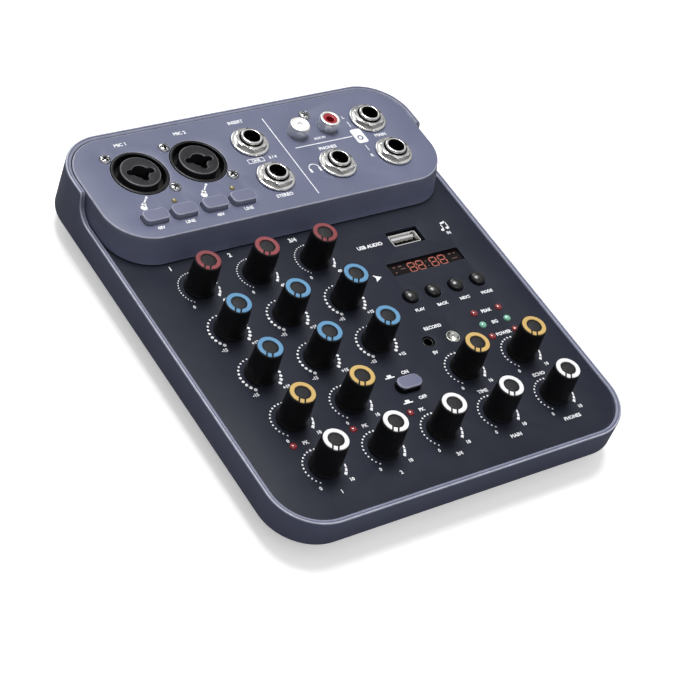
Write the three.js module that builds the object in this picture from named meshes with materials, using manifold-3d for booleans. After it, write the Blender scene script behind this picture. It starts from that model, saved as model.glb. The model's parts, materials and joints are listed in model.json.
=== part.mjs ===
// Compact desktop mixing console, in millimetres, +Z up.
// The origin is on the table, under the middle of the case.
// X runs to the right, Y runs to the rear, where the raised jack block is.

import * as THREE from 'three';
import { mergeVertices } from 'three/addons/utils/BufferGeometryUtils.js';
import Module from 'manifold-3d';

const wasm = await Module();
wasm.setup();

// ---------------------------------------------------------------- driving dimensions

const GAP = 0.3;

const CASE_WIDTH = 160;
const CASE_DEPTH = 188;
const CASE_CORNER = 20;
const CASE_WALL = 2.3;
const CASE_BOTTOM = 8;
const CASE_FLANGE = 1.6;

const RIM_TOP = 19.7;
const EAR_TOP = 29.6;
const EAR_FRONT = 66;
const EAR_FILLET = 8;

const PANEL_TOP = 18.5;
const PANEL_THICK = 1.6;
const PANEL_REAR = 35.5;
const PANEL_TAB_INNER = 66;
const PANEL_TAB_REAR = 56;

const POD_TOP = 29.6;
const POD_BASE_FRONT = 33.5;
const POD_TOP_FRONT = 37.4;
const POD_WALL = 1.9;
const POD_CORNER = 18;
const POD_BEVEL = 0.5;

const PAN_WIDTH = 140;
const PAN_DEPTH = 168;
const PAN_CORNER = 8;
const PAN_WALL = 1.8;
const PAN_FLOOR = 2;

const FOOT_RADIUS = 7;
const FOOT_X = 56;
const FOOT_Y = 70;

const BOARD_BOTTOM = 6.2;
const BOARD_THICK = 1.6;
const BOARD_TOP = BOARD_BOTTOM + BOARD_THICK;
const BOARD_EDGE_GAP = 1.2;
const BOARD_SPLIT = 32;

const KNOB_BASE_RADIUS = 6.0;
const KNOB_TOP_RADIUS = 5.25;
const KNOB_CLEARANCE = 0.4;
const KNOB_TOP = 33.5;
const KNOB_SIDES = 16;
const SHAFT_RADIUS = 3;
const SHAFT_TIP_RADIUS = 1.9;
const BUSHING_RADIUS = 3.4;
const BUSHING_TOP = 16.2;
const POT_TOP = 14.6;

const KNOB_COLUMNS = [-52.5, -26.5, 0, 26.8, 54.5];
const KNOB_ROWS = [-70, -47.65, -25.3, -3, 19.3];

const COMBO_RADIUS = 11.35;
const COMBO_INSERT_RADIUS = 8;
const COMBO_GROOVE_RADIUS = 9.7;
const COMBO_Y = 70.3;
const COMBO_COLUMNS = [-52.4, -26.3];
const SCREW_OFFSET = [-9.8, 10.3];
const SCREW_RADIUS = 2.5;
const SCREW_SHANK_RADIUS = 1.4;
const SCREW_BOTTOM = 22;
const SCREW_HEAD_SINK = 0.6;

const JACK_BORE_RADIUS = 3.25;
const JACK_NOSE_RADIUS = 4.4;
const JACK_NOSE_TOP = 33.6;
const JACK_BODY = [13.4, 14];
const NUT_FLATS = 11.8;
const NUT_HEIGHT = 1.6;
const WASHER_RADIUS = 7.9;
const WASHER_THICK = 0.7;
const JACKS = {
  insert: [-0.3, 74.1],
  line: [-0.3, 54.1],
  headphone: [29.5, 54.1],
  main_left: [57.4, 74.1],
  main_right: [57.4, 54.1],
};

const PHONO_RADIUS = 4.15;
const PHONO_TOP = 34.2;
const PHONO_Y = 74.55;
const PHONO_COLUMNS = [22.9, 37.6];
const PHONO_PIN_RADIUS = 1.7;
const PHONO_SCREW = [31.4, 82.8];

const CAP_LENGTH = 10.5;
const CAP_WIDTH = 5.7;
const CAP_TRAVEL = 1.6;
const POD_CAP_TOP = 31.95;
const POD_CAP_Y = 47.2;
const POD_CAP_COLUMNS = [-58.8, -46.1, -32.6, -19.9];
const PANEL_CAP_TOP = 21.4;
const PANEL_CAP = [-0.4, -47.7];

const BUTTON_RADIUS = 3.15;
const BUTTON_TOP = 20.7;
const BUTTON_TRAVEL = 0.7;
const BUTTON_Y = -9.4;
const BUTTON_COLUMNS = [27.1, 38.1, 49.3, 60.3];

const USB_CENTRE = [44.4, 19.65];
const USB_CUTOUT = [15.4, 8.1];
const USB_SHELL = [13.5, 5.9];
const DISPLAY_CENTRE = [44.8, 5.2];
const DISPLAY_WINDOW = [35.4, 6.6];
const SMALL_SOCKET = [20.8, -31.4];
const SMALL_SOCKET_RADIUS = 2.4;
const METAL_SOCKET = [32.4, -32];
const METAL_SOCKET_RADIUS = 2.9;
const SOCKET_SINK = 0.5;
const INLET = [46, 13.4];
const INLET_SIZE = [8, 6.2];

// ---------------------------------------------------------------- finishes

function finish(color, roughness, metalness) {
  return new THREE.MeshStandardMaterial({ color, roughness, metalness });
}

const BLUE_GREY = finish('#5d6078', 0.55, 0.1);
const DARK_PANEL = finish('#353741', 0.6, 0.1);
const BLACK_PLASTIC = finish('#141416', 0.5, 0);
const GLOSSY_BLACK = finish('#0a0a0c', 0.15, 0);
const BRIGHT_METAL = finish('#cfcfcc', 0.25, 1);
const RUBBER = finish('#1b1b1d', 0.9, 0);
const CIRCUIT_BOARD = finish('#1f5a3a', 0.6, 0);
const DISPLAY_BLACK = finish('#120a09', 0.2, 0);

// ---------------------------------------------------------------- solids

function toSolid(geometry) {
  const bare = geometry.index ? geometry.toNonIndexed() : geometry.clone();
  bare.deleteAttribute('normal');
  bare.deleteAttribute('uv');
  const merged = mergeVertices(bare, 1e-4);
  return new wasm.Manifold(new wasm.Mesh({
    numProp: 3,
    vertProperties: new Float32Array(merged.attributes.position.array),
    triVerts: new Uint32Array(merged.index.array),
  }));
}

function toGeometry(solid) {
  const mesh = solid.getMesh();
  const geometry = new THREE.BufferGeometry();
  geometry.setAttribute('position', new THREE.BufferAttribute(mesh.vertProperties, 3));
  geometry.setIndex(new THREE.BufferAttribute(mesh.triVerts, 1));
  geometry.computeVertexNormals();
  return geometry;
}

function join(first, ...others) {
  return others.reduce((sum, other) => sum.add(other), first);
}

function cut(first, ...others) {
  return others.reduce((rest, other) => rest.subtract(other), first);
}

function box(x0, x1, y0, y1, z0, z1) {
  const geometry = new THREE.BoxGeometry(x1 - x0, y1 - y0, z1 - z0);
  geometry.translate((x0 + x1) / 2, (y0 + y1) / 2, (z0 + z1) / 2);
  return toSolid(geometry);
}

function block(centre, size, z0, z1) {
  const [x, y] = centre;
  const [width, depth] = size;
  return box(x - width / 2, x + width / 2, y - depth / 2, y + depth / 2, z0, z1);
}

function rod(centre, radius, z0, z1, sides = 24) {
  const geometry = new THREE.CylinderGeometry(radius, radius, z1 - z0, sides);
  geometry.rotateX(Math.PI / 2);
  geometry.translate(centre[0], centre[1], (z0 + z1) / 2);
  return toSolid(geometry);
}

// A turned piece: the profile is a list of [radius, z], from the axis back to the axis.
function turned(centre, profile, sides = 24) {
  const points = profile.map(([radius, z]) => new THREE.Vector2(radius, z));
  const geometry = new THREE.LatheGeometry(points, sides);
  geometry.rotateX(Math.PI / 2);
  geometry.translate(centre[0], centre[1], 0);
  return toSolid(geometry);
}

// Corner points of a rounded rectangle, counter-clockwise from above.
function roundedOutline(x0, x1, y0, y1, frontRadius, rearRadius, steps = 6) {
  const corners = [
    [x1 - frontRadius, y0 + frontRadius, frontRadius, -Math.PI / 2],
    [x1 - rearRadius, y1 - rearRadius, rearRadius, 0],
    [x0 + rearRadius, y1 - rearRadius, rearRadius, Math.PI / 2],
    [x0 + frontRadius, y0 + frontRadius, frontRadius, Math.PI],
  ];
  const points = [];
  for (const [x, y, radius, start] of corners) {
    for (let step = 0; step <= steps; step += 1) {
      const angle = start + (step / steps) * (Math.PI / 2);
      points.push([x + radius * Math.cos(angle), y + radius * Math.sin(angle)]);
    }
  }
  return points;
}

// A solid skinned over convex outlines stacked upwards, each { points, z }.
function lofted(rings) {
  const count = rings[0].points.length;
  const positions = [];
  for (const ring of rings) {
    for (const [x, y] of ring.points) positions.push(x, y, ring.z);
  }
  const faces = [];
  for (let level = 0; level < rings.length - 1; level += 1) {
    for (let i = 0; i < count; i += 1) {
      const a = level * count + i;
      const b = level * count + ((i + 1) % count);
      faces.push(a, b, b + count, a, b + count, a + count);
    }
  }
  const top = (rings.length - 1) * count;
  for (let i = 1; i < count - 1; i += 1) {
    faces.push(0, i + 1, i);
    faces.push(top, top + i, top + i + 1);
  }
  const geometry = new THREE.BufferGeometry();
  geometry.setAttribute('position', new THREE.Float32BufferAttribute(positions, 3));
  geometry.setIndex(faces);
  return toSolid(geometry);
}

// A rounded block about the middle of the case, width by depth.
function roundedBlock(width, depth, radius, z0, z1, steps = 6) {
  const points = roundedOutline(-width / 2, width / 2, -depth / 2, depth / 2, radius, radius, steps);
  return lofted([{ points, z: z0 }, { points, z: z1 }]);
}

function roundedBar(centre, length, width, radius, z0, z1, steps = 3) {
  const [x, y] = centre;
  const points = roundedOutline(
    x - length / 2, x + length / 2, y - width / 2, y + width / 2, radius, radius, steps);
  return lofted([{ points, z: z0 }, { points, z: z1 }]);
}

// ---------------------------------------------------------------- the assembly

const mixer = new THREE.Group();

function add(name, solid, material) {
  const mesh = new THREE.Mesh(toGeometry(solid), material);
  mesh.name = name;
  mixer.add(mesh);
}

// ---------------------------------------------------------------- case

// Everything above the rim and in front of the ears, with a round foot at the ears.
function aboveTheRim() {
  const outline = new THREE.Shape();
  const front = -CASE_DEPTH;
  const filletStart = EAR_FRONT - EAR_FILLET;
  outline.moveTo(front, RIM_TOP);
  outline.lineTo(filletStart, RIM_TOP);
  for (let step = 1; step <= 6; step += 1) {
    const angle = (step / 6) * (Math.PI / 2);
    const y = filletStart + EAR_FILLET * Math.sin(angle);
    outline.lineTo(y, RIM_TOP + EAR_FILLET * (1 - Math.cos(angle)));
  }
  outline.lineTo(EAR_FRONT, EAR_TOP + 5);
  outline.lineTo(front, EAR_TOP + 5);
  outline.closePath();
  const width = CASE_WIDTH + 10;
  const geometry = new THREE.ExtrudeGeometry(outline, { depth: width, bevelEnabled: false });
  // The outline's own x and y become Y and Z, and its depth becomes X.
  const turn = new THREE.Matrix4().makeBasis(
    new THREE.Vector3(0, 1, 0), new THREE.Vector3(0, 0, 1), new THREE.Vector3(1, 0, 0));
  geometry.applyMatrix4(turn);
  geometry.translate(-width / 2, 0, 0);
  return toSolid(geometry);
}

function makeTopCase() {
  const outer = roundedBlock(CASE_WIDTH, CASE_DEPTH, CASE_CORNER, CASE_BOTTOM, EAR_TOP);
  const innerWidth = CASE_WIDTH - 2 * CASE_WALL;
  const innerDepth = CASE_DEPTH - 2 * CASE_WALL;
  const innerCorner = CASE_CORNER - CASE_WALL;
  const floorTop = CASE_BOTTOM + CASE_FLANGE;
  const hollow = roundedBlock(innerWidth, innerDepth, innerCorner, floorTop, EAR_TOP + 5);
  const opening = roundedBlock(
    PAN_WIDTH - 2 * PAN_WALL, PAN_DEPTH - 2 * PAN_WALL, PAN_CORNER - PAN_WALL,
    CASE_BOTTOM - 1, floorTop + 1, 3);
  const [inletX, inletZ] = INLET;
  const [halfX, halfZ] = INLET_SIZE.map((size) => size / 2 + GAP);
  const rear = CASE_DEPTH / 2;
  const inletHole = box(
    inletX - halfX, inletX + halfX, rear - 6, rear + 4, inletZ - halfZ, inletZ + halfZ);
  const shell = cut(outer, hollow, opening, aboveTheRim(), inletHole);
  add('top_case', shell, BLUE_GREY);
}

function makeBottomCover() {
  const outer = roundedBlock(PAN_WIDTH, PAN_DEPTH, PAN_CORNER, PAN_FLOOR, CASE_BOTTOM - GAP, 3);
  const hollow = roundedBlock(
    PAN_WIDTH - 2 * PAN_WALL, PAN_DEPTH - 2 * PAN_WALL, PAN_CORNER - PAN_WALL,
    PAN_FLOOR + PAN_WALL, CASE_BOTTOM + 1, 3);
  add('bottom_cover', cut(outer, hollow), BLACK_PLASTIC);
}

function makeFeet() {
  for (const [side, x] of [['left', -FOOT_X], ['right', FOOT_X]]) {
    for (const [end, y] of [['front', -FOOT_Y], ['rear', FOOT_Y]]) {
      const foot = rod([x, y], FOOT_RADIUS, 0, PAN_FLOOR - GAP, 20);
      add(`foot_${end}_${side}`, foot, RUBBER);
    }
  }
}

// ---------------------------------------------------------------- control panel

function knobPlaces() {
  const places = [];
  const addRow = (row, columns, colour) => {
    for (const column of columns) {
      const centre = [KNOB_COLUMNS[column], KNOB_ROWS[row]];
      places.push({ name: `${colour}_knob_${row + 1}_${column + 1}`, centre });
    }
  };
  addRow(0, [0, 1, 2, 3, 4], 'white');
  addRow(1, [0, 1, 3, 4], 'yellow');
  addRow(2, [0, 1, 2], 'blue');
  addRow(3, [0, 1, 2], 'blue');
  addRow(4, [0, 1, 2], 'red');
  return places;
}

const KNOBS = knobPlaces();

function makeControlPanel() {
  const halfWidth = CASE_WIDTH / 2 - CASE_WALL - GAP;
  const front = -CASE_DEPTH / 2 + CASE_WALL + GAP;
  const points = roundedOutline(
    -halfWidth, halfWidth, front, PANEL_REAR, CASE_CORNER - CASE_WALL - GAP, 1, 6);
  const bottom = PANEL_TOP - PANEL_THICK;
  // Two tabs run on under the jack block's round front corners and close them off.
  const tabs = [-1, 1].map((side) => {
    const [inner, outer] = [PANEL_TAB_INNER, halfWidth].map((distance) => side * distance);
    return box(
      Math.min(inner, outer), Math.max(inner, outer),
      PANEL_REAR - 2, PANEL_TAB_REAR, bottom, PANEL_TOP);
  });
  const plate = join(lofted([{ points, z: bottom }, { points, z: PANEL_TOP }]), ...tabs);
  const z0 = bottom - 1;
  const z1 = PANEL_TOP + 1;
  const holes = KNOBS.map(({ centre }) => rod(centre, SHAFT_RADIUS + 0.6, z0, z1, 10));
  for (const x of BUTTON_COLUMNS) {
    holes.push(rod([x, BUTTON_Y], BUTTON_RADIUS + GAP, z0, z1, 16));
  }
  holes.push(roundedBar(
    PANEL_CAP, CAP_LENGTH + 2 * GAP, CAP_WIDTH + 2 * GAP, CAP_WIDTH / 2 + GAP - 0.01, z0, z1, 5));
  holes.push(block(USB_CENTRE, USB_CUTOUT, z0, z1));
  holes.push(block(DISPLAY_CENTRE, DISPLAY_WINDOW, z0, z1));
  holes.push(rod(SMALL_SOCKET, SMALL_SOCKET_RADIUS + GAP, z0, z1, 16));
  holes.push(rod(METAL_SOCKET, METAL_SOCKET_RADIUS + GAP, z0, z1, 16));
  add('control_panel', cut(plate, ...holes), DARK_PANEL);
}

function makeKnob(name, centre) {
  const base = PANEL_TOP + KNOB_CLEARANCE;
  const tipBottom = BUSHING_TOP - 2;
  const shaftBottom = BUSHING_TOP + GAP;
  const profile = [
    [0, tipBottom],
    [SHAFT_TIP_RADIUS, tipBottom],
    [SHAFT_TIP_RADIUS, shaftBottom],
    [SHAFT_RADIUS, shaftBottom],
    [SHAFT_RADIUS, base],
    [KNOB_BASE_RADIUS, base],
    [KNOB_TOP_RADIUS, KNOB_TOP],
    [0, KNOB_TOP],
  ];
  add(name, turned(centre, profile, KNOB_SIDES), BLACK_PLASTIC);
}

// The pointer side of each potentiometer body has its pins, so the body is longer there.
function potentiometer(centre) {
  const [x, y] = centre;
  const body = box(x - 4.9, x + 4.9, y - 6, y + 5, BOARD_TOP - 0.2, POT_TOP);
  const bushing = rod(centre, BUSHING_RADIUS, POT_TOP - 0.2, BUSHING_TOP, 10);
  const bore = rod(centre, SHAFT_TIP_RADIUS + 0.3, BUSHING_TOP - 3, BUSHING_TOP + 1, 8);
  return cut(join(body, bushing), bore);
}

function switchBody(centre, top) {
  return block(centre, [8, 8], BOARD_TOP - 0.2, top);
}

const STEM = [3, 3];
const POD_STEM_BOTTOM = 22.4;
const PANEL_STEM_BOTTOM = 12;
const BUTTON_STEM_BOTTOM = 12.9;

// A circuit board's bare plate, clear of the bottom cover's walls and corners.
function boardPlate(front, rear, frontCorner, rearCorner) {
  const half = PAN_WIDTH / 2 - PAN_WALL - BOARD_EDGE_GAP;
  const points = roundedOutline(-half, half, front, rear, frontCorner, rearCorner, 3);
  return lofted([{ points, z: BOARD_BOTTOM }, { points, z: BOARD_TOP }]);
}

function makeMainBoard() {
  const front = -PAN_DEPTH / 2 + PAN_WALL + BOARD_EDGE_GAP;
  const board = boardPlate(front, BOARD_SPLIT - 1, PAN_CORNER, 1);
  const parts = KNOBS.map(({ centre }) => potentiometer(centre));
  parts.push(switchBody(PANEL_CAP, PANEL_STEM_BOTTOM - CAP_TRAVEL - GAP));
  for (const x of BUTTON_COLUMNS) {
    const top = BUTTON_STEM_BOTTOM - BUTTON_TRAVEL - GAP;
    parts.push(block([x, BUTTON_Y], [6, 6], BOARD_TOP - 0.2, top));
  }
  add('main_circuit_board', join(board, ...parts), CIRCUIT_BOARD);
}

function makeJackBoard() {
  const rear = PAN_DEPTH / 2 - PAN_WALL - BOARD_EDGE_GAP;
  const board = boardPlate(BOARD_SPLIT + 1, rear, 1, PAN_CORNER);
  const top = POD_STEM_BOTTOM - CAP_TRAVEL - GAP;
  const bodies = POD_CAP_COLUMNS.map((x) => switchBody([x, POD_CAP_Y - 0.8], top));
  add('jack_circuit_board', join(board, ...bodies), CIRCUIT_BOARD);
}

// A rounded cap on a square stem.
function capSolid(centre, capBottom, capTop, stemBottom, cornerRadius) {
  const [x, y] = centre;
  const outline = (inset) => roundedOutline(
    x - CAP_LENGTH / 2 + inset, x + CAP_LENGTH / 2 - inset,
    y - CAP_WIDTH / 2 + inset, y + CAP_WIDTH / 2 - inset,
    cornerRadius - inset, cornerRadius - inset, 4);
  const cap = lofted([
    { points: outline(0), z: capBottom },
    { points: outline(0), z: capTop - 0.4 },
    { points: outline(0.4), z: capTop },
  ]);
  return join(cap, block(centre, STEM, stemBottom, capBottom + 0.2));
}

function makeCaps() {
  POD_CAP_COLUMNS.forEach((x, index) => {
    const cap = capSolid([x, POD_CAP_Y], 26.6, POD_CAP_TOP, POD_STEM_BOTTOM, 1.9);
    add(`jack_block_button_${index + 1}`, cap, BLUE_GREY);
  });
  const cap = capSolid(PANEL_CAP, 16, PANEL_CAP_TOP, PANEL_STEM_BOTTOM, CAP_WIDTH / 2 - 0.01);
  add('panel_button', cap, BLUE_GREY);
}

function makeDomedButtons() {
  BUTTON_COLUMNS.forEach((x, index) => {
    const shoulder = PANEL_TOP + 0.9;
    const profile = [
      [0, BUTTON_STEM_BOTTOM],
      [1.5, BUTTON_STEM_BOTTOM],
      [1.5, 16],
      [BUTTON_RADIUS, 16],
      [BUTTON_RADIUS, shoulder],
    ];
    for (let step = 1; step < 3; step += 1) {
      const angle = (step / 3) * (Math.PI / 2);
      const radius = BUTTON_RADIUS * Math.cos(angle);
      profile.push([radius, shoulder + (BUTTON_TOP - shoulder) * Math.sin(angle)]);
    }
    profile.push([0, BUTTON_TOP]);
    add(`display_button_${index + 1}`, turned([x, BUTTON_Y], profile, 14), GLOSSY_BLACK);
  });
}

// ---------------------------------------------------------------- jack block

function podOutline(front, inset) {
  const half = CASE_WIDTH / 2 - CASE_WALL - GAP - inset;
  const rear = CASE_DEPTH / 2 - CASE_WALL - GAP - inset;
  const rearCorner = CASE_CORNER - CASE_WALL - GAP - inset;
  return roundedOutline(-half, half, front + inset, rear, POD_CORNER - inset, rearCorner, 6);
}

function podFront(z) {
  const share = (z - PANEL_TOP) / (POD_TOP - PANEL_TOP);
  return POD_BASE_FRONT + share * (POD_TOP_FRONT - POD_BASE_FRONT);
}

function comboScrewCentres(x) {
  const [dx, dy] = SCREW_OFFSET;
  return [[x + dx, COMBO_Y + dy], [x - dx, COMBO_Y - dy]];
}

const SCREW_CENTRES = [...COMBO_COLUMNS.flatMap(comboScrewCentres), PHONO_SCREW];

function makeJackPod() {
  const base = PANEL_TOP + GAP;
  const shoulder = POD_TOP - POD_BEVEL;
  const ceiling = POD_TOP - POD_WALL;
  const outer = lofted([
    { points: podOutline(podFront(base), 0), z: base },
    { points: podOutline(podFront(shoulder), 0), z: shoulder },
    { points: podOutline(podFront(shoulder), POD_BEVEL), z: POD_TOP },
  ]);
  const hollow = lofted([
    { points: podOutline(podFront(base - 1), POD_WALL), z: base - 1 },
    { points: podOutline(podFront(ceiling), POD_WALL), z: ceiling },
  ]);
  const z0 = ceiling - 1;
  const z1 = POD_TOP + 1;
  const holes = [];
  for (const x of COMBO_COLUMNS) {
    holes.push(rod([x, COMBO_Y], COMBO_RADIUS + GAP, z0, z1, 28));
  }
  for (const centre of SCREW_CENTRES) {
    holes.push(rod(centre, SCREW_SHANK_RADIUS + 0.4, z0, z1, 8));
    holes.push(rod(centre, SCREW_RADIUS + 0.4, POD_TOP - SCREW_HEAD_SINK - GAP, z1, 12));
  }
  for (const centre of Object.values(JACKS)) {
    holes.push(rod(centre, JACK_NOSE_RADIUS + GAP, z0, z1, 12));
  }
  for (const x of PHONO_COLUMNS) {
    holes.push(rod([x, PHONO_Y], PHONO_RADIUS + GAP, z0, z1, 16));
  }
  for (const x of POD_CAP_COLUMNS) {
    holes.push(roundedBar(
      [x, POD_CAP_Y], CAP_LENGTH + 2 * GAP, CAP_WIDTH + 2 * GAP, 2.2, z0, z1, 3));
  }
  add('jack_block', cut(outer, hollow, ...holes), BLUE_GREY);
}

// A combination socket: a round body, a ring groove for the microphone plug's shell,
// and a central bore with three lobes for the quarter-inch plug and the microphone pins.
function makeComboJack(name, x) {
  const centre = [x, COMBO_Y];
  const body = join(
    rod(centre, COMBO_RADIUS, BOARD_TOP + GAP, POD_TOP - 0.2, 28),
    rod(centre, COMBO_INSERT_RADIUS, POD_TOP - 1, POD_TOP + 1, 24));
  const grooveBottom = POD_TOP - 10;
  const groove = cut(
    rod(centre, COMBO_GROOVE_RADIUS, grooveBottom, POD_TOP + 2, 24),
    rod(centre, COMBO_INSERT_RADIUS, grooveBottom - 1, POD_TOP + 3, 24));
  const boreBottom = POD_TOP - 18;
  const bore = rod(centre, 3.3, boreBottom, POD_TOP + 2, 20);
  const lobes = [
    box(x - 5.6, x + 5.6, COMBO_Y + 1.2, COMBO_Y + 3.6, boreBottom + 4, POD_TOP + 2),
    box(x - 1.3, x + 1.3, COMBO_Y - 5.4, COMBO_Y, boreBottom + 4, POD_TOP + 2),
  ];
  add(name, cut(body, groove, bore, ...lobes), BLACK_PLASTIC);
}

// A pan-head screw with a cross in its head, sunk a little into the jack block's top.
function makeScrew(name, centre) {
  const seat = POD_TOP - SCREW_HEAD_SINK;
  const head = turned(centre, [
    [0, SCREW_BOTTOM],
    [SCREW_SHANK_RADIUS, SCREW_BOTTOM],
    [SCREW_SHANK_RADIUS, seat],
    [SCREW_RADIUS, seat],
    [SCREW_RADIUS, POD_TOP + 0.1],
    [SCREW_RADIUS * 0.6, POD_TOP + 0.9],
    [0, POD_TOP + 1],
  ], 14);
  const slotZ = POD_TOP + 0.5;
  const [x, y] = centre;
  const slots = join(
    box(x - 1.5, x + 1.5, y - 0.35, y + 0.35, slotZ, slotZ + 2),
    box(x - 0.35, x + 0.35, y - 1.5, y + 1.5, slotZ, slotZ + 2));
  add(name, cut(head, slots), BRIGHT_METAL);
}

function makeCombos() {
  [['left', COMBO_COLUMNS[0]], ['right', COMBO_COLUMNS[1]]].forEach(([side, x]) => {
    makeComboJack(`combo_jack_${side}`, x);
    comboScrewCentres(x).forEach((centre, index) => {
      makeScrew(`combo_screw_${side}_${index + 1}`, centre);
    });
  });
}

function makeQuarterInchJack(name, centre) {
  const bodyTop = POD_TOP - POD_WALL - GAP;
  const body = block(centre, JACK_BODY, BOARD_TOP + GAP, bodyTop);
  const nose = turned(centre, [
    [0, bodyTop - 1],
    [JACK_NOSE_RADIUS, bodyTop - 1],
    [JACK_NOSE_RADIUS, JACK_NOSE_TOP - 0.4],
    [JACK_NOSE_RADIUS - 0.4, JACK_NOSE_TOP],
    [0, JACK_NOSE_TOP],
  ], 20);
  const bore = rod(centre, JACK_BORE_RADIUS, BOARD_TOP + 3, JACK_NOSE_TOP + 1, 16);
  add(`${name}_jack`, cut(join(body, nose), bore), BRIGHT_METAL);
}

function makeJackNut(name, centre) {
  const washerBottom = POD_TOP + GAP;
  const nutBottom = washerBottom + WASHER_THICK;
  const washer = turned(centre, [
    [0, washerBottom],
    [WASHER_RADIUS, washerBottom],
    [WASHER_RADIUS, nutBottom - 0.2],
    [WASHER_RADIUS - 0.5, nutBottom],
    [0, nutBottom],
  ], 24);
  const hexRadius = NUT_FLATS / Math.sqrt(3);
  const hex = rod(centre, hexRadius, nutBottom - 0.1, nutBottom + NUT_HEIGHT, 6);
  const hole = rod(
    centre, JACK_NOSE_RADIUS + GAP, washerBottom - 1, nutBottom + NUT_HEIGHT + 1, 20);
  add(`${name}_jack_nut`, cut(join(washer, hex), hole), BRIGHT_METAL);
}

function makeQuarterInchJacks() {
  for (const [name, centre] of Object.entries(JACKS)) {
    makeQuarterInchJack(name, centre);
    makeJackNut(name, centre);
  }
}

// Both phono sockets stand on one block, which one screw holds to the jack block's top.
function makePhonoJacks() {
  const bodyTop = POD_TOP - POD_WALL - GAP;
  const [left, right] = PHONO_COLUMNS;
  let solid = box(left - 6, right + 6, PHONO_Y - 5, PHONO_Y + 7.05, BOARD_TOP + GAP, bodyTop);
  for (const x of PHONO_COLUMNS) {
    const barrel = turned([x, PHONO_Y], [
      [0, bodyTop - 1],
      [PHONO_RADIUS, bodyTop - 1],
      [PHONO_RADIUS, PHONO_TOP - 0.3],
      [PHONO_RADIUS - 0.3, PHONO_TOP],
      [0, PHONO_TOP],
    ], 24);
    solid = join(solid, barrel);
  }
  for (const x of PHONO_COLUMNS) {
    solid = cut(solid, rod([x, PHONO_Y], PHONO_PIN_RADIUS, PHONO_TOP - 8, PHONO_TOP + 1, 12));
  }
  const screwHole = rod(
    PHONO_SCREW, SCREW_SHANK_RADIUS + GAP, SCREW_BOTTOM - 1, POD_TOP, 8);
  add('phono_jacks', cut(solid, screwHole), BRIGHT_METAL);
  makeScrew('phono_screw', PHONO_SCREW);
}

// ---------------------------------------------------------------- sockets and display

function makeUsbSocket() {
  const mouth = PANEL_TOP - 1.7;
  const shell = block(USB_CENTRE, USB_SHELL, BOARD_TOP + GAP, mouth);
  const [x, y] = USB_CENTRE;
  const hollow = block(USB_CENTRE, [USB_SHELL[0] - 0.9, USB_SHELL[1] - 0.9], mouth - 8.5, mouth + 1);
  const tongue = box(x - 5.4, x + 5.4, y + 0.5, y + 2.2, mouth - 8.8, mouth - 0.5);
  add('usb_socket', join(cut(shell, hollow), tongue), BRIGHT_METAL);
}

function makeDisplay() {
  const size = [DISPLAY_WINDOW[0] - 2 * GAP, DISPLAY_WINDOW[1] - 2 * GAP];
  const face = block(DISPLAY_CENTRE, size, 12, PANEL_TOP - 0.7);
  const holder = block(DISPLAY_CENTRE, [40, 10], BOARD_TOP + GAP, 12.5);
  add('display_module', join(holder, face), DISPLAY_BLACK);
}

function makeSmallSockets() {
  const bottom = BOARD_TOP + GAP;
  const bodyTop = 16;
  const top = PANEL_TOP - SOCKET_SINK;
  const sleeve = (centre, radius) => rod(centre, radius, bodyTop - 1, top, 16);
  const black = cut(
    join(block(SMALL_SOCKET, [7, 9], bottom, bodyTop), sleeve(SMALL_SOCKET, SMALL_SOCKET_RADIUS)),
    rod(SMALL_SOCKET, 1.5, 10, top + 1, 12));
  add('small_round_socket', black, BLACK_PLASTIC);
  const metal = cut(
    join(block(METAL_SOCKET, [8, 9], bottom, bodyTop), sleeve(METAL_SOCKET, METAL_SOCKET_RADIUS)),
    rod(METAL_SOCKET, METAL_SOCKET_RADIUS - 0.6, 13, top + 1, 16));
  add('metal_round_socket', metal, BRIGHT_METAL);
}

function makePowerInlet() {
  const [x, z] = INLET;
  const [width, height] = INLET_SIZE;
  const rear = CASE_DEPTH / 2 - 0.5;
  const neck = box(x - width / 2, x + width / 2, rear - 10.5, rear, z - height / 2, z + height / 2);
  const mouth = new THREE.CylinderGeometry(2.4, 2.4, 9, 14);
  mouth.translate(x, rear - 3, z);
  add('power_inlet', cut(neck, toSolid(mouth)), BLACK_PLASTIC);
}

makeTopCase();
makeBottomCover();
makeFeet();
makeControlPanel();
KNOBS.forEach(({ name, centre }) => makeKnob(name, centre));
makeMainBoard();
makeJackBoard();
makeCaps();
makeDomedButtons();
makeJackPod();
makeCombos();
makeQuarterInchJacks();
makePhonoJacks();
makeUsbSocket();
makeDisplay();
makeSmallSockets();
makePowerInlet();

export default mixer;
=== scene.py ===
# %% [markdown]
# # A compact mixing console, surface by surface
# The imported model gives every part's place and size. This lesson builds the looks around it:
# smooth cases, turned knobs and sockets, printed scales and small lamps, all as surfaces that
# numpy works out. Lengths are in millimetres until a mesh is made, and Blender gets metres.

# %% Load the frame
import json
import math
import bmesh
import bpy
import numpy as np
from mathutils import Matrix, Vector
from mathutils.geometry import delaunay_2d_cdt


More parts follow.
